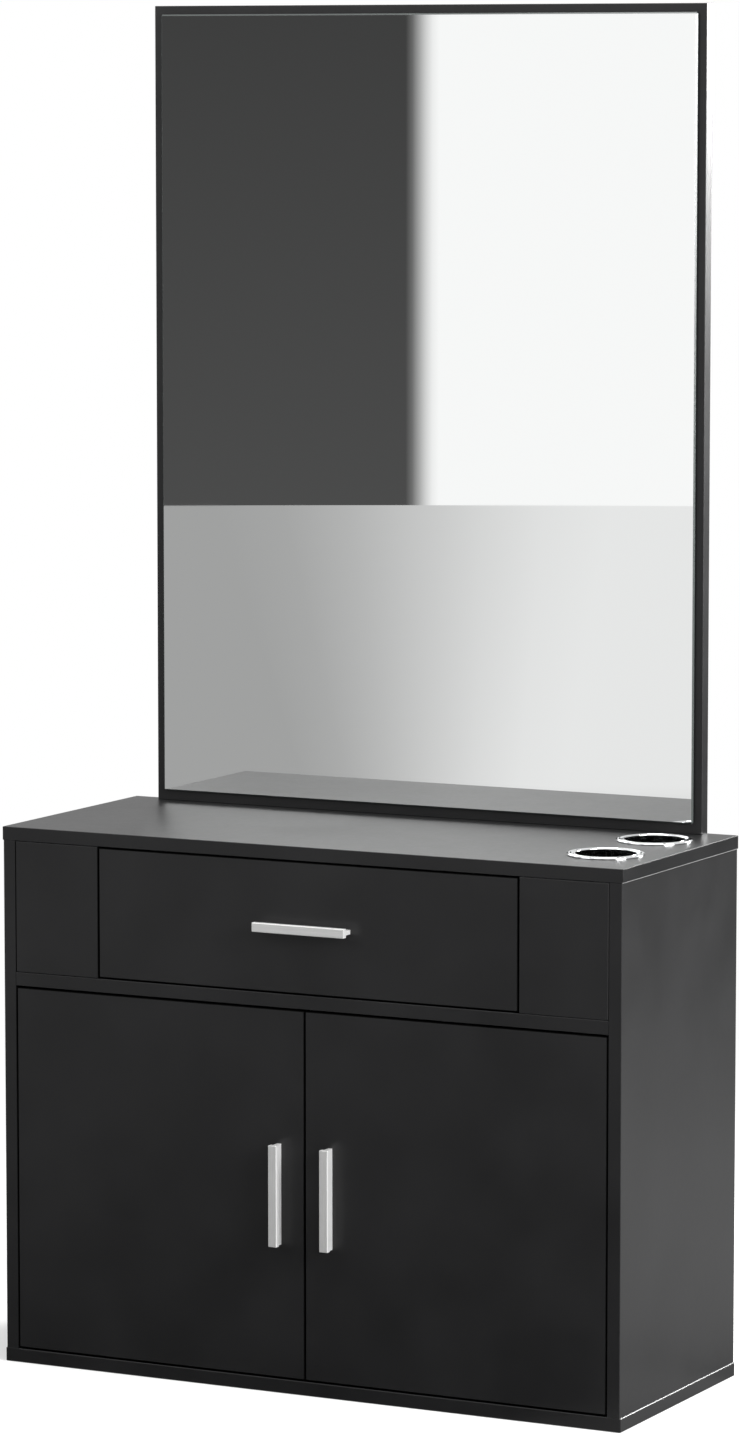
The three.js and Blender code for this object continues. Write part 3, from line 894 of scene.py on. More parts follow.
@dataclass(frozen=True)
class BrushedMetal:
    """Metal brushed along one axis: long hairlines with a few deeper strokes.

    The oxide layer scatters some light, so a share of the finish is matt. Behind the face the colour
    is paler: painted light that makes the sides and web read bright. A kind of stroke has a width, a
    length, a detail and a share.
    """

    name: str
    along: Axis
    face: float
    colour: Colour = (0.62, 0.62, 0.615)
    dull_share: float = 0.84
    side_colour: Colour = (0.95, 0.95, 0.945)
    face_depth: float = 0.0002
    roughest: float = 0.43
    smoothest: float = 0.31
    metal_share: float = 0.68
    strokes: tuple[tuple[float, float, Detail, float], ...] = (
        (0.00022, 0.03, Detail.MIXED, 0.65), (0.00132, 0.09, Detail.SOFT, 0.35),
    )
    line_depth: float = 0.000012

    def material(self) -> bpy.types.Material:
        """Makes the material.

        Returns:
            Metal with strokes along its axis.
        """
        graph = Graph.named(f"{self.name}_{self.along.name.lower()}")
        parts: list[Socket] = []
        for width, length, detail, share in self.strokes:
            scale = [1 / width] * 3
            scale[self.along.value] = 1 / length
            parts.append(graph.times(graph.noise(1.0, detail, graph.stretched(tuple(scale))), share))
        grain = graph.math("ADD", *parts)
        colour = graph.blend(graph.remap(grain, NARROW), scaled(self.colour, self.dull_share), self.colour)
        # Painted light: the sides and web behind the face take a paler colour than the face.
        behind = graph.math("SUBTRACT", graph.axes()[1], self.face)
        side = graph.remap(behind, (self.face_depth / 2, self.face_depth))
        colour = graph.blend(side, colour, self.side_colour)
        rough = graph.remap(grain, BROAD, (self.roughest, self.smoothest))
        normal = graph.bump(grain, self.line_depth)
        return graph.show(Base_Color=colour, Metallic=self.metal_share, Roughness=rough, Normal=normal)


@dataclass(frozen=True)
class PlatedMetal:
    """Plated metal with a faint cloud of wipe marks and, if it has one, a crystal bloom."""

    name: str
    colour: Colour
    roughness: float
    cloud_size: float = 0.012
    waves_per_cloud: float = 5.0
    bloom_size: float = 0.0
    bloom_share: float = 0.22
    dull_share: float = 0.86
    roughness_spread: Pair = (1.3, 0.8)
    wave_depth: float = 0.000004

    def material(self) -> bpy.types.Material:
        """Makes the material.

        Returns:
            Plating, clean and dull in patches.
        """
        graph = Graph.named(self.name)
        share = graph.noise(self.cloud_size, Detail.RICH)
        if self.bloom_size > 0:
            crystals = graph.cells(self.bloom_size).outputs["Color"]
            tint = graph.node("SeparateXYZ", {0: crystals}).outputs[0]
            share = graph.between(self.bloom_share, share, tint)
        colour = graph.blend(share, scaled(self.colour, self.dull_share), self.colour)
        dull, clean = self.roughness_spread
        rough = graph.remap(share, BROAD, (self.roughness * dull, self.roughness * clean))
        normal = graph.bump(graph.noise(self.cloud_size / self.waves_per_cloud), self.wave_depth)
        return graph.show(Base_Color=colour, Metallic=1.0, Roughness=rough, Normal=normal)


@dataclass(frozen=True)
class SilveredGlass:
    """Float glass silvered on its back: a mirror inside the ground arris, green glass on it."""

    node: str
    arris: float
    blur: float = 0.02
    silver: Colour = (0.925, 0.935, 0.93)
    edge: Colour = (0.045, 0.052, 0.05)
    refraction: float = 1.52
    grain_size: float = 0.0007
    grain_roughness: Pair = (0.1, 0.28)
    wipe_size: float = 0.19
    wipe_span: Pair = (0.35, 0.75)
    wipe_roughness: Pair = (0.0, 0.012)

    def material(self) -> bpy.types.Material:
        """Makes the material.

        Returns:
            A mirror within the arris, and ground glass on it.
        """
        graph = Graph.named("silvered_glass")
        sides = graph.walls(Box.of(self.node))
        walls = [wall for side, wall in sides.items() if side[1] != Axis.Y.name]
        edge = (self.arris * (1 - self.blur), self.arris * (1 + self.blur))
        silvered = graph.remap(graph.least(walls), edge)
        ground = graph.remap(graph.noise(self.grain_size, Detail.MIXED), BROAD, self.grain_roughness)
        wiped = graph.noise(self.wipe_size, Detail.MIXED)
        wiped = graph.remap(wiped, self.wipe_span, self.wipe_roughness)
        return graph.show(
            Base_Color=graph.blend(silvered, self.edge, self.silver), Metallic=silvered,
            Roughness=graph.between(silvered, ground, wiped), IOR=self.refraction,
        )


@dataclass(frozen=True)
class Hardboard:
    """Thin fibreboard: painted up to a place along an axis, and bare beyond it."""

    name: str
    painted_to: float
    axis: Axis
    paint: Colour = (0.011, 0.011, 0.011)
    paint_roughness: Pair = (0.5, 0.58)
    fibre_pale: Colour = (0.2, 0.115, 0.058)
    fibre_dark: Colour = (0.105, 0.056, 0.028)
    fibre_size: float = 0.0016
    fibre_depth: float = 0.00003
    fibre_roughness: float = 0.82
    mottle_size: float = 0.007
    mottle_share: float = 0.3

    def material(self) -> bpy.types.Material:
        """Makes the material.

        Returns:
            Paint up to the place, and bare fibre beyond it.
        """
        graph = Graph.named(self.name)
        bare = graph.math("GREATER_THAN", graph.axes()[self.axis.value], self.painted_to)
        fibre = graph.noise(self.fibre_size, Detail.FIBROUS)
        mottle = graph.noise(self.mottle_size, Detail.RICH)
        share = graph.remap(graph.between(self.mottle_share, fibre, mottle), NARROW)
        colour = graph.blend(bare, self.paint, graph.blend(share, self.fibre_dark, self.fibre_pale))
        rough = graph.between(bare, graph.remap(mottle, BROAD, self.paint_roughness), self.fibre_roughness)
        return graph.show(Base_Color=colour, Roughness=rough, Normal=graph.bump(fibre, self.fibre_depth))


@dataclass(frozen=True)
class MouldedPlastic:
    """Moulded plastic with a fine spark-eroded texture."""

    name: str
    colour: Colour
    pale_share: float = 1.15
    roughness: Pair = (0.38, 0.48)
    cloud_size: float = 0.015
    grain_size: float = 0.0004
    grain_depth: float = 0.00002

    def material(self) -> bpy.types.Material:
        """Makes the material.

        Returns:
            Plastic, slightly clouded and finely grained.
        """
        graph = Graph.named(self.name)
        cloud = graph.noise(self.cloud_size)
        colour = graph.blend(cloud, self.colour, scaled(self.colour, self.pale_share))
        rough = graph.remap(cloud, BROAD, self.roughness)
        normal = graph.bump(graph.noise(self.grain_size), self.grain_depth)
        return graph.show(Base_Color=colour, Roughness=rough, Normal=normal)


BAR_FACE = Box.of("drawer_handle").end(Axis.Y, -1)
CHROME = PlatedMetal("polished_chrome", (0.78, 0.79, 0.8), 0.045)
NICKEL = PlatedMetal("nickel_plate", (0.6, 0.585, 0.56), 0.24)
ZINC = PlatedMetal("bright_zinc", (0.6, 0.615, 0.63), 0.27, bloom_size=0.0016)
STEEL = PlatedMetal("rolled_steel", (0.46, 0.46, 0.47), 0.34, cloud_size=0.03)
GREY_PLASTIC = MouldedPlastic("grey_plastic", (0.2, 0.19, 0.175))


@dataclass(frozen=True)
class Board:
    """A board, and its sides: those without paper or band, those in a front gap with painted shade, and the
    one whose arris gets a painted highlight.
    """

    node: str
    bare: str = ""
    gaps: str = ""
    scraped: str = ""


ALL_ROUND = "-X +X -Z +Z"
BOARDS = (
    Board("top_panel", "+Y", scraped="-Z"),
    Board("bottom_panel", "+Y", scraped="+Z"),
    Board("left_side_panel", "+Y -Z +Z", "+X"),
    Board("right_side_panel", "+Y -Z +Z", "-X"),
    Board("middle_shelf", "+Y -X +X"),
    Board("left_partition", "-Y +Y -Z +Z"),
    Board("right_partition", "-Y +Y -Z +Z"),
    Board("left_front_filler", gaps="+X"),
    Board("right_front_filler", gaps="-X"),
    Board("cupboard_shelf", "+Y"),
    Board("wall_rail_upper", ALL_ROUND),
    Board("wall_rail_lower", "-X +X -Z"),
    Board("drawer_front", gaps=ALL_ROUND),
    Board("left_door", gaps=ALL_ROUND),
    Board("right_door", gaps=ALL_ROUND),
    Board("drawer_left_side", "-Y +Y -Z"),
    Board("drawer_right_side", "-Y +Y -Z"),
    Board("drawer_back", "-X +X -Z"),
    Board("mirror_board"),
)


def dress(node: str, material: bpy.types.Material) -> None:
    """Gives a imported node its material.

    Args:
        node: the node's name.
        material: the material.
    """
    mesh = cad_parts[node].data
    mesh.materials.clear()
    mesh.materials.append(material)
    log.info("%s: %s", node, material.name)


@dataclass
class Boards:
    """Every melamine board and both thin hardboard panels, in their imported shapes.

    The back is painted on its front half only. The drawer's bottom is painted throughout, up to
    a place well above it.
    """

    melamine: Melamine = Melamine()
    worktop: Melamine = Melamine(roughness=0.34)
    above_bottom: float = 1.0

    def build(self) -> None:
        """Dresses the boards."""
        for board in BOARDS:
            finish = self.worktop if board.node == "top_panel" else self.melamine
            dress(board.node, finish.material(board))
        middle = float(Box.of("back_panel").centre[1])
        above = Box.of("drawer_bottom").end(Axis.Z, 1) + self.above_bottom
        dress("back_panel", made(Hardboard("hardboard_back", middle, Axis.Y)))
        dress("drawer_bottom", made(Hardboard("hardboard_drawer", above, Axis.Z)))


@dataclass(frozen=True)
class Screw:
    """A screw head with a cross recess.

    Attributes:
        radius: the head's radius.
        height: how far the crown stands above the seat.
        skirt: how far the head's side goes below the seat.
        arm_reach: how far a recess arm reaches from the middle.
        arm_width: how wide a recess arm is.
        arm_depth: how deep the recess is.
        rings: how many circles of points the crown has.
        spokes: how many points a circle has.
    """

    radius: float = 0.0036
    height: float = 0.0019
    skirt: float = 0.0002
    arm_reach: float = 0.0021
    arm_width: float = 0.0008
    arm_depth: float = 0.0013
    rings: int = 12
    spokes: int = 40

    def _bar(self, first: Array, second: Array) -> Array:
        """One bar of the cross, 3 e^2 - 2 e^3, where e falls from 1 inside to 0 at its edges.

        Here e is the lesser of 1.5 - 2 |a| / width and 4 (1 - |b| / reach), each held in 0 to 1.

        Args:
            first: the distance a across the bar.
            second: the distance b along it.

        Returns:
            One inside, zero outside.
        """
        wide = np.clip(1.5 - 2 * np.abs(first) / self.arm_width, 0, 1)
        long = np.clip(4 * (1 - np.abs(second) / self.arm_reach), 0, 1)
        edge = np.minimum(wide, long)
        return edge * edge * (3 - 2 * edge)

    def surface(self, seat: Array, outward: Array) -> Surface:
        """Works out the head.

        The crown is h (1 - (r / R)^4)^(1/2). The recess takes its depth off inside two crossed bars.

        Args:
            seat: the middle of the head's seat.
            outward: the unit vector that the head faces.

        Returns:
            The closed surface.
        """
        share = np.linspace(0, 1, self.rings)[:, None]
        angle = np.linspace(0, 2 * math.pi, self.spokes, endpoint=False)[None, :]
        across, along = self.radius * share * np.cos(angle), self.radius * share * np.sin(angle)
        crown = self.height * np.sqrt(np.clip(1 - share**4, 0, 1)) + 0 * angle
        cross = np.maximum(self._bar(across, along), self._bar(along, across))
        level = crown - np.minimum(self.arm_depth, crown + self.skirt / 2) * cross
        rim = np.full((1, self.spokes), -self.skirt)
        rows_across = np.concatenate([across, across[-1:], 0 * across[-1:]])[..., None]
        rows_along = np.concatenate([along, along[-1:], 0 * along[-1:]])[..., None]
        rows_level = np.concatenate([level, rim, rim])[..., None]
        helper = Axis.X.unit if abs(outward[0]) < 0.5 else Axis.Z.unit
        first = unit_rows(np.cross(outward, helper))
        second = np.cross(outward, first)
        plane = rows_across * first + rows_along * second
        return Surface.grid(np.asarray(seat) + plane + rows_level * outward)

    def group(self, seats: Iterable[Array], outward: Array) -> Surface:
        """Several heads that face one way."""
        return joined(self.surface(seat, outward) for seat in seats)


@dataclass
class HolderRings:
    """Chrome rings let into the worktop: a crowned rim, a groove, a lip and a collar.

    Shares are of the rim's width, of its rise over the worktop and of the collar's drop below it.
    """

    bore: float = 0.039
    collar: float = 0.0416
    collar_wall: float = 0.0011
    rim_width: float = 0.0056
    shoulder_rise: float = 0.62
    crown_outside: float = 0.35
    crown_inside: float = 0.25
    groove_depth: float = 0.0013
    lip_width: float = 0.0022
    lip_draft: float = 0.0002
    lip_rise: float = 0.8
    bore_drop: float = 0.9
    segments: int = 144

    def build(self) -> None:
        """Builds both rings in the places of their nodes."""
        worktop = Box.of("top_panel").end(Axis.Z, 1)
        for end in ("front", "rear"):
            node = f"{end}_holder_ring"
            box = Box.of(node)
            centre = np.array([*box.centre[:2], worktop])
            outer, bore = float(box.half[0]), self.bore
            rise, drop = float(box.high[2]) - worktop, worktop - float(box.low[2])
            groove_outer, groove_inner = outer - self.rim_width, bore + self.lip_width
            floor, lip = rise - self.groove_depth, rise * self.lip_rise
            profile = [
                (bore + self.collar_wall, -drop, 0.0002),
                (self.collar, -drop, 0.0003),
                (self.collar, 0.0, 0.0001),
                (outer, 0.0, 0.0004),
                (outer, rise * self.shoulder_rise, 0.0014),
                (outer - self.rim_width * self.crown_outside, rise, 0.0011),
                (groove_outer + self.rim_width * self.crown_inside, rise, 0.0009),
                (groove_outer, floor, 0.0004),
                (groove_inner, floor, 0.0003),
                (groove_inner - self.lip_draft, lip, 0.0005),
                (bore, lip, 0.0005),
                (bore, -drop * self.bore_drop, 0.0003),
            ]
            ring = turned(Outline.rounded(profile, steps=6), centre, Axis.Z.unit, self.segments)
            add_piece(f"{end}_ring_chrome", ring, Body.CABINET, CHROME, [node])


@dataclass
class BarHandles:
    """Brushed T-section bars with two screws each, whose heads sit behind the front."""

    face_depth: float = 0.008
    web: float = 0.0058
    corner: float = 0.0009
    root: float = 0.0006
    end_ease: float = 0.0005
    hole_spacing: float = 0.096
    screw: Screw = Screw(radius=0.0042, height=0.0023)

    def _outline(self, half: float, projection: float) -> Outline:
        """The T section, across and away from the front.

        Args:
            half: half the width of its face.
            projection: how far it stands off the front.

        Returns:
            The outline.
        """
        web, shoulder = self.web / 2, projection - self.face_depth
        root, corner = self.root, self.corner
        return Outline.rounded([
            (-web, 0.0, 0.0), (web, 0.0, 0.0), (web, shoulder, root), (half, shoulder, corner),
            (half, projection, corner), (-half, projection, corner), (-half, shoulder, corner),
            (-web, shoulder, root),
        ])

    def _bar(self, node: str, front: str, body: Body, axis: Axis) -> None:
        """Builds one bar and its screws.

        Args:
            node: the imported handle.
            front: the board that carries it.
            body: the body that it rides on.
            axis: the axis along which it runs.
        """
        box = Box.of(node)
        across = Axis.X if axis is Axis.Z else Axis.Z
        outline = self._outline(float(box.half[across.value]), float(2 * box.half[1]))
        path = box.line(axis)
        path[:, 1] = box.high[1]
        bar = swept(outline, path, -Axis.Y.unit, self.end_ease)
        finish = BrushedMetal("brushed_aluminium", axis, BAR_FACE)
        add_piece(f"{node}_bar", bar, body, finish, [node])
        middle = box.centre
        middle[1] = Box.of(front).high[1]
        seats = [middle + way * axis.unit * self.hole_spacing / 2 for way in (-1, 1)]
        add_piece(f"{node}_screws", self.screw.group(seats, Axis.Y.unit), body, ZINC)

    def build(self) -> None:
        """Builds the three bars."""
        self._bar("drawer_handle", "drawer_front", Body.DRAWER, Axis.X)
        for hand in Hand:
            self._bar(f"{hand.side}_door_handle", f"{hand.side}_door", hand.door, Axis.Z)


@dataclass
class ConcealedHinge:
    """A concealed hinge: a cup in the door, a pressed arm on a plate, and their screws."""

    hand: Hand
    level: str
    sheet: float = 0.0011
    flange_width: float = 0.003
    arm_thickness: float = 0.003
    arm_radii: Triple = (0.0003, 0.0009, 0.0003)
    arm_start: float = 0.12
    arm_slope: float = math.radians(40)
    bend_radius: float = 0.004
    eye_clearance: float = 0.00015
    eye_wall: float = 0.0012
    eye_radius: float = 0.0003
    pin_dome: float = 0.5
    lug_width: float = 0.015
    lug_reach: float = 0.0295
    lug_overlap: float = 0.008
    lug_offset: float = 0.008
    lug_thickness: float = 0.001
    lug_rounding: float = 0.00045
    plate_corner: float = 0.004
    plate_screw_back: float = 0.006
    plate_screw_rise: float = 0.0105
    arm_screw_places: Pair = (0.0065, 0.0215)
    lug_screw: Screw = Screw(radius=0.0033, height=0.0012, arm_depth=0.0009)
    plate_screw: Screw = Screw()
    arm_screw: Screw = Screw(radius=0.003, height=0.0012, arm_depth=0.0009)

    @property
    def label(self) -> str:
        """What the names of its nodes start with."""
        return f"{self.hand.side}_{self.level}_hinge"

    def _box(self, part: str) -> Box:
        """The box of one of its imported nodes."""
        return Box.of(f"{self.label}_{part}")

    def _cup(self) -> None:
        """Builds the cup, its two lugs and their screws, on the door."""
        box, label, door = self._box("cup"), self.label, self.hand.door
        face = Box.of(f"{self.hand.side}_door").end(Axis.Y, 1)
        centre = box.centre
        centre[1] = face
        flange, rise, depth = float(box.half[0]), float(box.high[1]) - face, face - float(box.low[1])
        outer = flange - self.flange_width
        inner, floor = outer - self.sheet, self.sheet - depth
        profile = [
            (0.0, -depth, 0.0), (outer, -depth, 0.002), (outer, 0.0, 0.0002), (flange, 0.0, 0.0002),
            (flange, rise, 0.0004), (inner, rise, 0.0008), (inner, floor, 0.0012), (0.0, floor, 0.0),
        ]
        cup = turned(Outline.rounded(profile, closed=False), centre, Axis.Y.unit, 72)
        add_piece(f"{label}_cup_shell", cup, door, NICKEL, [f"{label}_cup"])
        inboard = centre + self.hand.inward * self.lug_offset
        half = np.array([self.lug_width, 0, self.lug_reach - flange + self.lug_overlap]) / 2
        top = Axis.Y.unit * self.lug_thickness
        middles = [inboard + Axis.Z.unit * way * (flange + self.lug_reach) / 2 for way in (-1, 1)]
        lugs = [rounded_box(middle - half, middle + half + top, self.lug_rounding) for middle in middles]
        add_piece(f"{label}_lugs", joined(lugs), door, NICKEL)
        screws = self.lug_screw.group([middle + top for middle in middles], Axis.Y.unit)
        add_piece(f"{label}_lug_screws", screws, door, ZINC)

    def _pin(self) -> None:
        """Builds the pin with domed ends."""
        box, label, door = self._box("pin"), self.label, self.hand.door
        radius, half = float(box.half[0]), float(box.half[2])
        dome = radius * self.pin_dome
        profile = [(0.0, -half, 0.0), (radius, -half, dome), (radius, half, dome), (0.0, half, 0.0)]
        pin = turned(Outline.rounded(profile, closed=False), box.centre, Axis.Z.unit, 32)
        add_piece(f"{label}_pin_turned", pin, door, NICKEL, [f"{label}_pin"])

    def _arm_path(self) -> Array:
        """The arm's middle line, from the pin round the open door's edge to the plate.

        Returns:
            The line's points, its corners rounded off.
        """
        pin = self._box("pin").centre
        arm, plate = self._box("arm"), self._box("plate")
        half, bend = self.arm_thickness / 2, self.bend_radius
        inner_x = arm.end(Axis.X, -self.hand.value) + self.hand.value * half
        foot_x = plate.end(Axis.X, -self.hand.value) - self.hand.value * half
        crossing = float(plate.low[1]) + self.arm_thickness
        leave = pin[1] + abs(inner_x - pin[0]) * math.tan(self.arm_slope)
        corners = [
            (pin[0], pin[1], 0.0), (inner_x, leave, bend), (inner_x, crossing, bend),
            (foot_x, crossing, bend), (foot_x, float(arm.high[1]), 0.0),
        ]
        flat = Outline.rounded(corners, steps=6, closed=False).points
        apart = np.linalg.norm(np.diff(flat, axis=0), axis=1) > WELD_STEP
        flat = flat[np.concatenate([[True], apart])]
        return np.column_stack([flat, np.full(len(flat), pin[2])])

    def _arm(self) -> None:
        """Builds the arm as a pressed channel with an eye, and its two adjusting screws."""
        half, half_height = self.arm_thickness / 2, float(self._box("arm").half[2])
        outline = Outline.channel((half, half_height), self.sheet, self.arm_radii, self.hand.value, steps=3)
        path = self._arm_path()
        path[0] += (path[1] - path[0]) * self.arm_start
        channel = swept(outline, path, Axis.Z.unit)
        pin = self._box("pin")
        bore = float(pin.half[0]) + self.eye_clearance
        rim, radius = bore + self.eye_wall, self.eye_radius
        corners = ((bore, -half_height), (rim, -half_height), (rim, half_height), (bore, half_height))
        ring = Outline.rounded([(*corner, radius) for corner in corners])
        arm = channel + turned(ring, pin.centre, Axis.Z.unit, 40)
        node = f"{self.label}_arm"
        add_piece(f"{node}_channel", arm, Body.CABINET, NICKEL, [node])
        foot = path[-1] + self.hand.inward * half
        seats = [foot - Axis.Y.unit * back for back in self.arm_screw_places]
        screws = self.arm_screw.group(seats, self.hand.inward)
        add_piece(f"{node}_screws", screws, Body.CABINET, ZINC)

    def _plate(self) -> None:
        """Builds the mounting plate and its screws on the side panel."""
        node = f"{self.label}_plate"
        box = Box.of(node)
        plate = flat_plate(box, Axis.X, self.plate_corner)
        add_piece(f"{node}_pressed", plate, Body.CABINET, NICKEL, [node])
        middle = box.centre + Axis.Y.unit * self.plate_screw_back
        middle[0] = box.end(Axis.X, -self.hand.value)
        seats = [middle + way * Axis.Z.unit * self.plate_screw_rise for way in (-1, 1)]
        screws = self.plate_screw.group(seats, self.hand.inward)
        add_piece(f"{node}_screws", screws, Body.CABINET, ZINC)

    def build(self) -> None:
        """Builds the hinge."""
        self._cup()
        self._pin()
        self._arm()
        self._plate()


@dataclass
class DrawerSlides:
    """Telescopic slides: three rolled rails on each side, the outer two with their screws."""

    gauge: float = 0.0012
    radii: Triple = (0.0004, 0.0022, 0.001)
    end_ease: float = 0.0003
    cabinet_screw: Screw = Screw(radius=0.0032, height=0.00025, arm_depth=0.0008)
    drawer_screw: Screw = Screw(radius=0.0035, height=0.0013)
    screw_places: tuple[float, ...] = (0.028, 0.124, 0.252)

    def _rail(self, node: str, body: Body, web_side: int) -> None:
        """Builds one rail.

        Args:
            node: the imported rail.
            body: the body that it rides on.
            web_side: the sign of x on which its web lies.
        """
        box = Box.of(node)
        half = (float(box.half[0]), float(box.half[2]))
        outline = Outline.channel(half, self.gauge, self.radii, -web_side)
        rail = swept(outline, box.line(Axis.Y), Axis.Z.unit, self.end_ease)
        add_piece(f"{node}_rolled", rail, body, ZINC, [node])

    def _screws(self, node: str, body: Body, web_side: int, screw: Screw) -> None:
        """Builds a rail's screws, whose heads sit on its web and face into the channel.

        Args:
            node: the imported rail.
            body: the body that it rides on.
            web_side: the sign of x on which its web lies.
            screw: the kind of screw.
        """
        box = Box.of(node)
        start = box.line(Axis.Y)[0]
        start[0] = box.end(Axis.X, web_side) - web_side * self.gauge
        seats = [start + Axis.Y.unit * place for place in self.screw_places]
        heads = screw.group(seats, -web_side * Axis.X.unit)
        add_piece(f"{node}_screws", heads, body, ZINC)

    def build(self) -> None:
        """Builds both slides."""
        for hand in Hand:
            label = f"{hand.side}_slide"
            self._rail(f"{label}_cabinet_rail", Body.CABINET, hand.value)
            self._rail(f"{label}_middle_rail", Body.SLIDE_MIDDLE, hand.value)
            self._rail(f"{label}_drawer_rail", Body.DRAWER, -hand.value)
            self._screws(f"{label}_cabinet_rail", Body.CABINET, hand.value, self.cabinet_screw)
            self._screws(f"{label}_drawer_rail", Body.DRAWER, -hand.value, self.drawer_screw)


@dataclass
class ShelfPins:
    """Turned shelf pins with a collar against the side panel."""

    collar_radius: float = 0.0036
    collar_width: float = 0.0008
    nose: float = 0.0007

    def build(self) -> None:
        """Builds the four pins."""
        for hand in Hand:
            face = Box.of(f"{hand.side}_side_panel").end(Axis.X, -hand.value)
            for end in ("front", "rear"):
                node = f"shelf_pin_{hand.side}_{end}"
                box = Box.of(node)
                radius, half = float(box.half[2]), float(box.half[0])
                wall = hand.value * (face - float(box.centre[0]))
                start = wall - self.collar_width
                profile = [
                    (0.0, -half, 0.0), (radius, -half, self.nose), (radius, start, 0.0002),
                    (self.collar_radius, start, 0.0003), (self.collar_radius, wall, 0.0001),
                    (radius, wall, 0.0001), (radius, half, self.nose), (0.0, half, 0.0),
                ]
                outline = Outline.rounded(profile, closed=False)
                pin = turned(outline, box.centre, -hand.inward, 36)
                add_piece(f"{node}_turned", pin, Body.CABINET, NICKEL, [node])


@dataclass
class DoorCatch:
    """Twin magnetic catch under the middle shelf, and the strikes on the doors."""

    base: float = 0.0026
    base_setback: float = 0.002
    housing_half: float = 0.0215
    housing_setback: float = 0.0004
    corner: float = 0.0012
    pole_size: Triple = (0.0135, 0.002, 0.0016)
    pole_corner: float = 0.0003
    pole_levels: Pair = (0.3, 0.7)
    screw_back: float = 0.001
    screw: Screw = Screw(radius=0.0032, height=0.0015)
    strike_corner: float = 0.0025
    strike_sunk: float = 0.0002
    strike_screw_sunk: float = 0.0004
    flush_screw: Screw = Screw(radius=0.003, height=0.0004, arm_depth=0.0004)

    def _catch(self) -> None:
        """Builds the catch: a base, a housing, four poles and two screws."""
        box = Box.of("magnetic_catch")
        low, high = box.low, box.high
        under_base = float(high[2]) - self.base
        base = rounded_box(np.array([low[0], low[1] + self.base_setback, under_base]), high, self.corner)
        housing = rounded_box(
            np.array([-self.housing_half, low[1] + self.housing_setback, low[2]]),
            np.array([self.housing_half, high[1], high[2] - self.corner]), self.corner,
        )
        add_piece(
            "magnetic_catch_housing", base + housing, Body.CABINET, GREY_PLASTIC,
            ["magnetic_catch"],
        )
        poles: list[Surface] = []
        size = np.array(self.pole_size)
        for way in (-1, 1):
            for level in self.pole_levels:
                middle_z = low[2] + (under_base - low[2]) * level
                corner = np.array([way * self.housing_half / 2, low[1], middle_z]) - size * (0.5, 0, 0.5)
                poles.append(rounded_box(corner, corner + size, self.pole_corner))
        add_piece("magnetic_catch_poles", joined(poles), Body.CABINET, STEEL)
        ear = (float(high[0]) + self.housing_half) / 2
        seats = [np.array([way * ear, box.centre[1] + self.screw_back, under_base]) for way in (-1, 1)]
        screws = self.screw.group(seats, -Axis.Z.unit)
        add_piece("magnetic_catch_screws", screws, Body.CABINET, ZINC)

    def build(self) -> None:
        """Builds the catch and both strikes."""
        self._catch()
        for hand in Hand:
            node = f"{hand.side}_door_strike"
            box = Box.of(node)
            strike = flat_plate(box, Axis.Y, self.strike_corner, self.strike_sunk)
            add_piece(f"{node}_plate", strike, hand.door, STEEL, [node])
            seat = box.line(Axis.Y, self.strike_screw_sunk)[1]
            screw = self.flush_screw.surface(seat, Axis.Y.unit)
            add_piece(f"{node}_screw", screw, hand.door, ZINC)


@dataclass
class JoiningPlates:
    """Steel plates across the joint of mirror board and cabinet, with their flush screws."""

    corner: float = 0.006
    sunk: float = 0.0006
    screws_each_side: int = 3
    above_joint: float = 0.016
    below_joint: float = 0.026
    from_end: float = 0.01
    stagger: float = 0.45
    screw: Screw = Screw(radius=0.004, height=0.0005, arm_depth=0.0005, arm_reach=0.0026)

    def build(self) -> None:
        """Builds both plates."""
        joint = Box.of("top_panel").end(Axis.Z, 1)
        for hand in Hand:
            node = f"mirror_plate_{hand.side}"
            box = Box.of(node)
            plate = flat_plate(box, Axis.Y, self.corner, self.sunk)
            add_piece(f"{node}_pressed", plate, Body.CABINET, STEEL, [node])
            count = self.screws_each_side
            heights = np.concatenate([
                np.linspace(box.low[2] + self.from_end, joint - self.below_joint, count),
                np.linspace(joint + self.above_joint, box.high[2] - self.from_end, count),
            ])
            places = box.centre[0] + np.resize([-1.0, 1.0], 2 * count) * box.half[0] * self.stagger
            face = float(box.high[1]) - self.sunk
            seats = [np.array([place, face, height]) for place, height in zip(places, heights)]
            screws = self.screw.group(seats, Axis.Y.unit)
            add_piece(f"{node}_screws", screws, Body.CABINET, ZINC)


@dataclass
class WallScrews:
    """Pan-head screws with washers that hold both rails to the wall."""

    shaft_radius: float = 0.0023
    tip_clearance: float = 0.0004
    washer_radius: float = 0.0061
    washer_height: float = 0.0011
    inset: float = 0.045
    spacing: float = 0.26
    head: Screw = Screw(radius=0.0042, height=0.0021)

    def build(self) -> None:
        """Builds four screws for each rail, from the wall plane to the washer on its front."""
        shaft, washer, seat = self.shaft_radius, self.washer_radius, self.washer_height
        for level in ("upper", "lower"):
            box = Box.of(f"wall_rail_{level}")
            outer = float(box.high[0]) - self.inset
            tip = self.tip_clearance - float(2 * box.half[1])
            outline = Outline.rounded([
                (0.0, tip, 0.0), (shaft, tip, 0.0005), (shaft, 0.0, 0.0001), (washer, 0.0, 0.0003),
                (washer, seat, 0.0004), (0.0, seat, 0.0),
            ], closed=False)
            screws: list[Surface] = []
            for x in (-outer, self.spacing - outer, outer - self.spacing, outer):
                centre = np.array([x, box.low[1], box.centre[2]])
                shank = turned(outline, centre, -Axis.Y.unit, 36)
                shank.normals = None
                screws += [shank, self.head.surface(centre - Axis.Y.unit * seat, -Axis.Y.unit)]
            add_piece(f"{level}_wall_screws", joined(screws), Body.CABINET, ZINC)


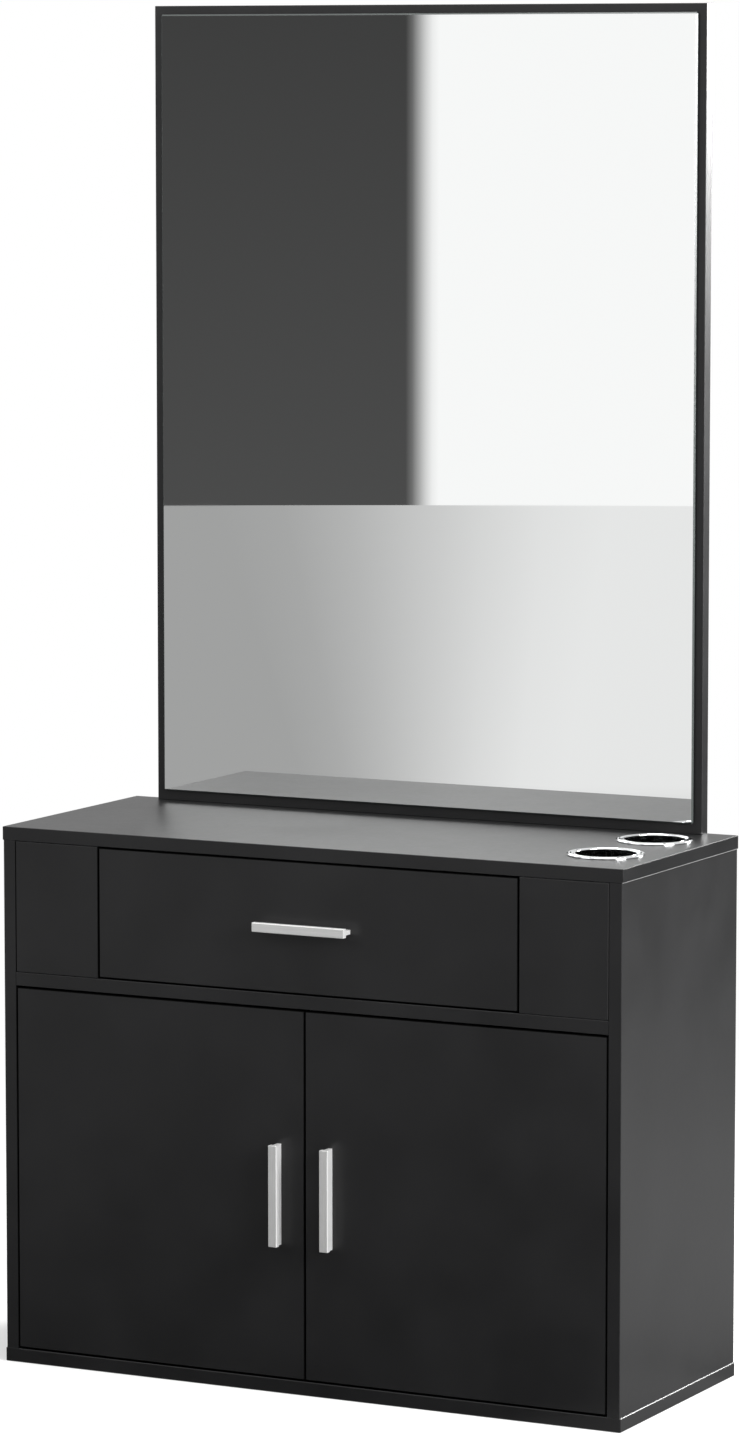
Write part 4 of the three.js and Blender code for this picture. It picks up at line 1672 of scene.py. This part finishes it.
@dataclass
class CamFittings:
    """Cam fittings that pull the boards together, each a slotted disc flush in its board."""

    disc: Screw = Screw(
        radius=0.0075, height=0.0004, skirt=0.003, arm_reach=0.0034, arm_width=0.0013,
        arm_depth=0.0016, rings=14, spokes=48,
    )
    inset: float = 0.034
    from_front: float = 0.05
    from_back: float = 0.07
    drawer_levels: Pair = (0.5, 0.75)

    def build(self) -> None:
        """Builds the fittings of the carcass and of the drawer."""
        panel, shelf = Box.of("right_side_panel"), Box.of("middle_shelf")
        depths = (panel.low[1] + self.from_front, panel.high[1] - self.from_back)
        levels = (panel.low[2] + self.inset, panel.high[2] - self.inset)
        for hand in Hand:
            wall, end = hand.value * panel.low[0], hand.value * (shelf.high[0] - self.inset)
            side = Box.of(f"drawer_{hand.side}_side")
            inner, front = side.end(Axis.X, -hand.value), side.low[1] + self.inset
            heights = [side.low[2] + 2 * side.half[2] * share for share in self.drawer_levels]
            groups = [
                (f"{hand.side}_side_cams", [(wall, y, z) for y in depths for z in levels], hand.inward),
                (f"{hand.side}_shelf_cams", [(end, y, shelf.low[2]) for y in depths], -Axis.Z.unit),
                (f"drawer_{hand.side}_cams", [(inner, front, z) for z in heights], hand.inward),
            ]
            for name, seats, outward in groups:
                body = Body.DRAWER if name.startswith("drawer") else Body.CABINET
                add_piece(name, self.disc.group(map(np.array, seats), outward), body, ZINC)


@dataclass
class MirrorGlass:
    """The mirror pane with its ground arris."""

    arris: float = 0.0019

    def build(self) -> None:
        """Builds the pane. Its arris is a flat at half a right angle, in the pane's thickness."""
        box = Box.of("mirror_glass")
        pane = rounded_box(box.low, box.high, self.arris, steps=1)
        pane.normals = None
        finish = SilveredGlass("mirror_glass", self.arris)
        add_piece("mirror_pane", pane, Body.CABINET, finish, ["mirror_glass"])


@dataclass
class PhotoCamera:
    """The camera, as the edges of the object in the photograph give it.

    Attributes:
        frame_height: the photograph's height in its own pixels.
        focal_pixels: the focal length in those pixels.
        place: the camera's place.
        yaw: its turn from +Y towards -X, in degrees.
        pitch: how far it looks down, in degrees.
        sensor: the size of the frame's long side on the sensor, in millimetres.
        sight: how far it sees.
    """

    frame_height: float = 1436.0
    focal_pixels: float = 5718.5
    place: Triple = (3.3905, -6.7967, 1.0597)
    yaw: float = 27.1135
    pitch: float = 6.4676
    sensor: float = 36.0
    sight: float = 200.0

    def build(self) -> None:
        """Sets the scene's camera."""
        data = bpy.data.cameras.new("photo_camera")
        data.sensor_width = self.sensor
        data.lens = self.sensor * self.focal_pixels / self.frame_height
        data.clip_end = self.sight
        camera = bpy.data.objects.new("photo_camera", data)
        camera.location = self.place
        camera.rotation_euler = (math.radians(90 - self.pitch), 0, math.radians(self.yaw))
        bpy.context.scene.collection.objects.link(camera)
        bpy.context.scene.camera = camera


@dataclass(frozen=True)
class Lamp:
    """One soft lamp: its place, where it points, its side and its power in watts."""

    name: str
    place: Triple
    target: Triple
    side: float
    power: float

    def build(self) -> None:
        """Adds the lamp. It isn't seen by the camera itself."""
        data = bpy.data.lights.new(self.name, "AREA")
        data.size = self.side
        data.energy = self.power
        lamp = bpy.data.objects.new(self.name, data)
        lamp.location = self.place
        away = Vector(self.place) - Vector(self.target)
        lamp.rotation_euler = away.to_track_quat("Z", "Y").to_euler()
        lamp.visible_camera = False
        bpy.context.scene.collection.objects.link(lamp)


@dataclass(frozen=True)
class Ramp:
    """A value that passes from first to last between start and stop: by 3 t^2 - 2 t^3."""

    start: float
    stop: float
    first: float = 0.0
    last: float = 1.0

    def at(self, values: Array) -> Array:
        """The value at each place."""
        share = np.clip((values - self.start) / (self.stop - self.start), 0, 1)
        return self.first + (self.last - self.first) * share * share * (3 - 2 * share)


@dataclass
class Studio:
    """A pale studio: floor, a round of walls that only reflections see, white sky and lamps.

    The tones that reflections see are worked out on the points of the floor and the wall, and
    stored with them. Bearings are in degrees from the front, growing towards -X.

    Attributes:
        middle: the y of the cabinet's middle, round which the floor is drawn.
        cover: how much of the floor's own shading gives way to plain white, by distance.
        near_tone: the floor's tone in front, by distance, with painted shade near the object.
        near_share: how much of it is left, by bearing.
        far_tone: the floor's tone further out in front, by bearing.
        to_far: the share of that tone, by distance.
        right_floor: the floor's tone before the bright panel to the right.
        right_wall: that panel's own tone.
        to_right: the share of the right panel's tone on the floor, by distance.
        right_edges: where the right panel begins and ends, by bearing to the right.
        behind_near: the floor's tone behind the cabinet, by distance, with painted shade near the object.
        behind_far: what is added to it further out.
        to_back: the share of the tones behind, by y.
        wall_back: the wall's tone behind, by x as a share of its radius.
        wall_to_back: the share of that tone, by bearing.
    """

    floor_gap: float = 0.0006
    floor_colour: Colour = (0.8, 0.8, 0.8)
    floor_reach: Pair = (0.05, 60.0)
    floor_steps: tuple[int, int] = (90, 360)
    middle: float = -0.18
    cover: Ramp = Ramp(0.5, 2.6, 0.3, 1.0)
    near_tone: Ramp = Ramp(0.3, 4.5, 0.02, 0.85)
    near_share: Ramp = Ramp(12.0, 38.0, 0.12, 1.0)
    far_tone: Ramp = Ramp(23.5, 29.5, 0.85, 0.38)
    to_far: Ramp = Ramp(4.0, 6.0)
    right_floor: float = 0.6
    right_wall: float = 0.7
    to_right: Ramp = Ramp(0.2, 0.6)
    right_edges: tuple[Ramp, Ramp] = (Ramp(34, 42), Ramp(84, 92))
    behind_near: Ramp = Ramp(0.2, 1.6, 0.58, 0.78)
    behind_far: Ramp = Ramp(2.0, 4.2, 0.0, -0.75)
    to_back: Ramp = Ramp(-0.36, 0.3)
    wall_radius: float = 15.0
    wall_height: float = 4.2
    wall_steps: tuple[int, int] = (12, 3600)
    wall_tone: float = 0.05
    wall_fall: float = 1.5
    panel_start: float = 26.8
    panel_period: float = 25.0
    panel_blur: float = 0.5
    panel_tone: float = 1.0
    wall_back: Ramp = Ramp(-0.3, 0.3, 0.45, 0.6)
    wall_to_back: Ramp = Ramp(86, 94)
    sky_light: float = 0.55
    lamps: tuple[Lamp, ...] = (
        Lamp("key_lamp", (-3.2, -4.2, 3.4), (0.0, -0.2, 0.2), 2.6, 105.0),
        Lamp("right_lamp", (4.4, -1.6, 1.7), (0.0, -0.3, -0.1), 2.2, 400.0),
        Lamp("top_lamp", (0.2, -0.6, 4.0), (0.0, -0.2, 0.0), 2.4, 90.0),
        Lamp("back_lamp", (2.3, 3.7, 1.75), (0.4, 0.0, 1.0), 1.4, 385.0),
    )

    @property
    def level(self) -> float:
        """The floor's height, just under the object."""
        return float(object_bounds()[0][2]) - self.floor_gap

    def _place(self, name: str, points: Array, tones: dict[str, Array]) -> bpy.types.Object:
        """Adds a grid of points as a stage object.

        Args:
            name: its name.
            points: rows by columns by three; each row closes on itself.
            tones: a number for each point, under the name that the material reads.

        Returns:
            The object.
        """
        mesh = bpy.data.meshes.new(name)
        mesh.from_pydata(points.reshape(-1, 3).tolist(), [], grid_faces(*points.shape[:2]).tolist())
        for key, values in tones.items():
            mesh.attributes.new(key, "FLOAT", "POINT").data.foreach_set("value", values.ravel())
        placed = bpy.data.objects.new(name, mesh)
        bpy.context.scene.collection.objects.link(placed)
        placed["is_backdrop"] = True
        return placed

    def _right_panel(self, bearing: Array) -> Array:
        """One inside the bright panel to the right of the front, zero outside it."""
        begins, ends = self.right_edges
        return begins.at(-bearing) - ends.at(-bearing)

    def _floor_tone(self, points: Array) -> Array:
        """The floor's tone in reflections: painted shade near the object, paler under the bright panels.

        Each part passes into the next by a + (b - a) * share.

        Args:
            points: the floor's points.

        Returns:
            One tone for each point.
        """
        across, along = points[..., 0], points[..., 1]
        away = np.hypot(across, along - self.middle)
        bearing = np.degrees(np.arctan2(-across, -along))
        # Painted shade: in reflections the floor darkens towards the object, in front and behind.
        near = self.near_tone.at(away) * self.near_share.at(bearing)
        front = near + (self.far_tone.at(bearing) - near) * self.to_far.at(away)
        to_right = self._right_panel(bearing) * self.to_right.at(away)
        front = front + (self.right_floor - front) * to_right
        behind = self.behind_near.at(away) + self.behind_far.at(away)
        return front + (behind - front) * self.to_back.at(along)

    def floor(self) -> None:
        """Builds the floor, which turns to plain white away from the object and keeps its shadow.

        A point is (r cos a, r sin a, level) about the cabinet's middle, with radii closer together
        near the object.
        """
        rings, spokes = self.floor_steps
        radius = np.concatenate([[0.0], np.geomspace(*self.floor_reach, rings)])[:, None]
        angle = np.linspace(0, 2 * math.pi, spokes, endpoint=False)[None, :]
        points = np.stack([
            radius * np.cos(angle), radius * np.sin(angle) + self.middle, self.level + 0 * radius * angle,
        ], axis=-1)
        tones = {"fade": self.cover.at(radius + 0 * angle), "tone": self._floor_tone(points)}
        floor = self._place("studio_floor", points, tones)
        graph = Graph.named("studio_floor")
        rays = graph.node("LightPath", {}).outputs
        camera = rays["Is Camera Ray"]
        mirrored = graph.math("MAXIMUM", rays["Is Glossy Ray"], rays["Is Transmission Ray"])
        share = graph.math("MAXIMUM", graph.times(camera, graph.stored("fade")), mirrored)
        strength = graph.between(camera, graph.stored("tone"), 1.0)
        matt = graph.node("BsdfDiffuse", {"Color": self.floor_colour}).outputs[0]
        glow = graph.node("Emission", {"Strength": strength}).outputs[0]
        mixed = graph.node("MixShader", {0: share, 1: matt, 2: glow}).outputs[0]
        floor.data.materials.append(graph.end(mixed))

    def _wall_tone(self, points: Array) -> Array:
        """The wall's tone in reflections: soft panels on a grey wall in front, plain grey behind.

        The grey is wall tone * (wall fall - height / wall height).

        Args:
            points: the wall's points.

        Returns:
            One tone for each point.
        """
        bearing = np.degrees(np.arctan2(-points[..., 0], -points[..., 1]))
        phase = np.mod(self.panel_start - bearing, self.panel_period)
        half = self.panel_period / 2
        lit = Ramp(0, self.panel_blur).at(phase) - Ramp(half, half + self.panel_blur).at(phase)
        grey = self.wall_tone * (self.wall_fall - (points[..., 2] - self.level) / self.wall_height)
        front = grey + (self.panel_tone - grey) * lit
        front = front + (self.right_wall - front) * self._right_panel(bearing)
        back = self.wall_back.at(points[..., 0] / self.wall_radius)
        return front + (back - front) * self.wall_to_back.at(np.abs(bearing))

    def wall(self) -> None:
        """Builds the wall: a point is (R sin a, -R cos a, z). Only reflections see it."""
        rows, columns = self.wall_steps
        angle = np.linspace(0, 2 * math.pi, columns, endpoint=False)[None, :]
        height = np.linspace(self.level, self.level + self.wall_height, rows)[:, None]
        points = np.stack([
            self.wall_radius * np.sin(angle) + 0 * height,
            -self.wall_radius * np.cos(angle) + 0 * height,
            height + 0 * angle,
        ], axis=-1)
        wall = self._place("studio_wall", points, {"tone": self._wall_tone(points)})
        for way in ("camera", "diffuse", "transmission", "shadow", "volume_scatter"):
            setattr(wall, f"visible_{way}", False)
        graph = Graph.named("studio_wall")
        glow = graph.node("Emission", {"Strength": graph.stored("tone")}).outputs[0]
        wall.data.materials.append(graph.end(glow))

    def sky(self) -> None:
        """Sets the world: plain white where it is seen, and a softer light on the object."""
        world = bpy.data.worlds.new("studio_sky")
        bpy.context.scene.world = world
        graph = Graph(world)
        rays = graph.node("LightPath", {}).outputs
        seen: Value = self.sky_light
        for kind in ("Camera", "Glossy", "Transmission"):
            inputs = {0: rays[f"Is {kind} Ray"], 1: seen}
            seen = graph.node("Math", inputs, operation="ADD", use_clamp=True).outputs[0]
        graph.end(graph.node("Background", {"Color": (1.0, 1.0, 1.0), "Strength": seen}).outputs[0])

    def build(self) -> None:
        """Builds the studio and sets how colours are shown."""
        self.floor()
        self.wall()
        self.sky()
        for lamp in self.lamps:
            lamp.build()
        bpy.context.scene.view_settings.view_transform = "Standard"


def main() -> None:
    """Builds the camera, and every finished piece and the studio."""
    logging.basicConfig(level=logging.INFO, format="%(message)s")
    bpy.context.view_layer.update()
    PhotoCamera().build()
    Boards().build()
    HolderRings().build()
    BarHandles().build()
    for hand in Hand:
        for level in ("lower", "upper"):
            ConcealedHinge(hand, level).build()
    DrawerSlides().build()
    ShelfPins().build()
    DoorCatch().build()
    JoiningPlates().build()
    WallScrews().build()
    CamFittings().build()
    MirrorGlass().build()
    Studio().build()


if __name__ == "__main__":
    main()
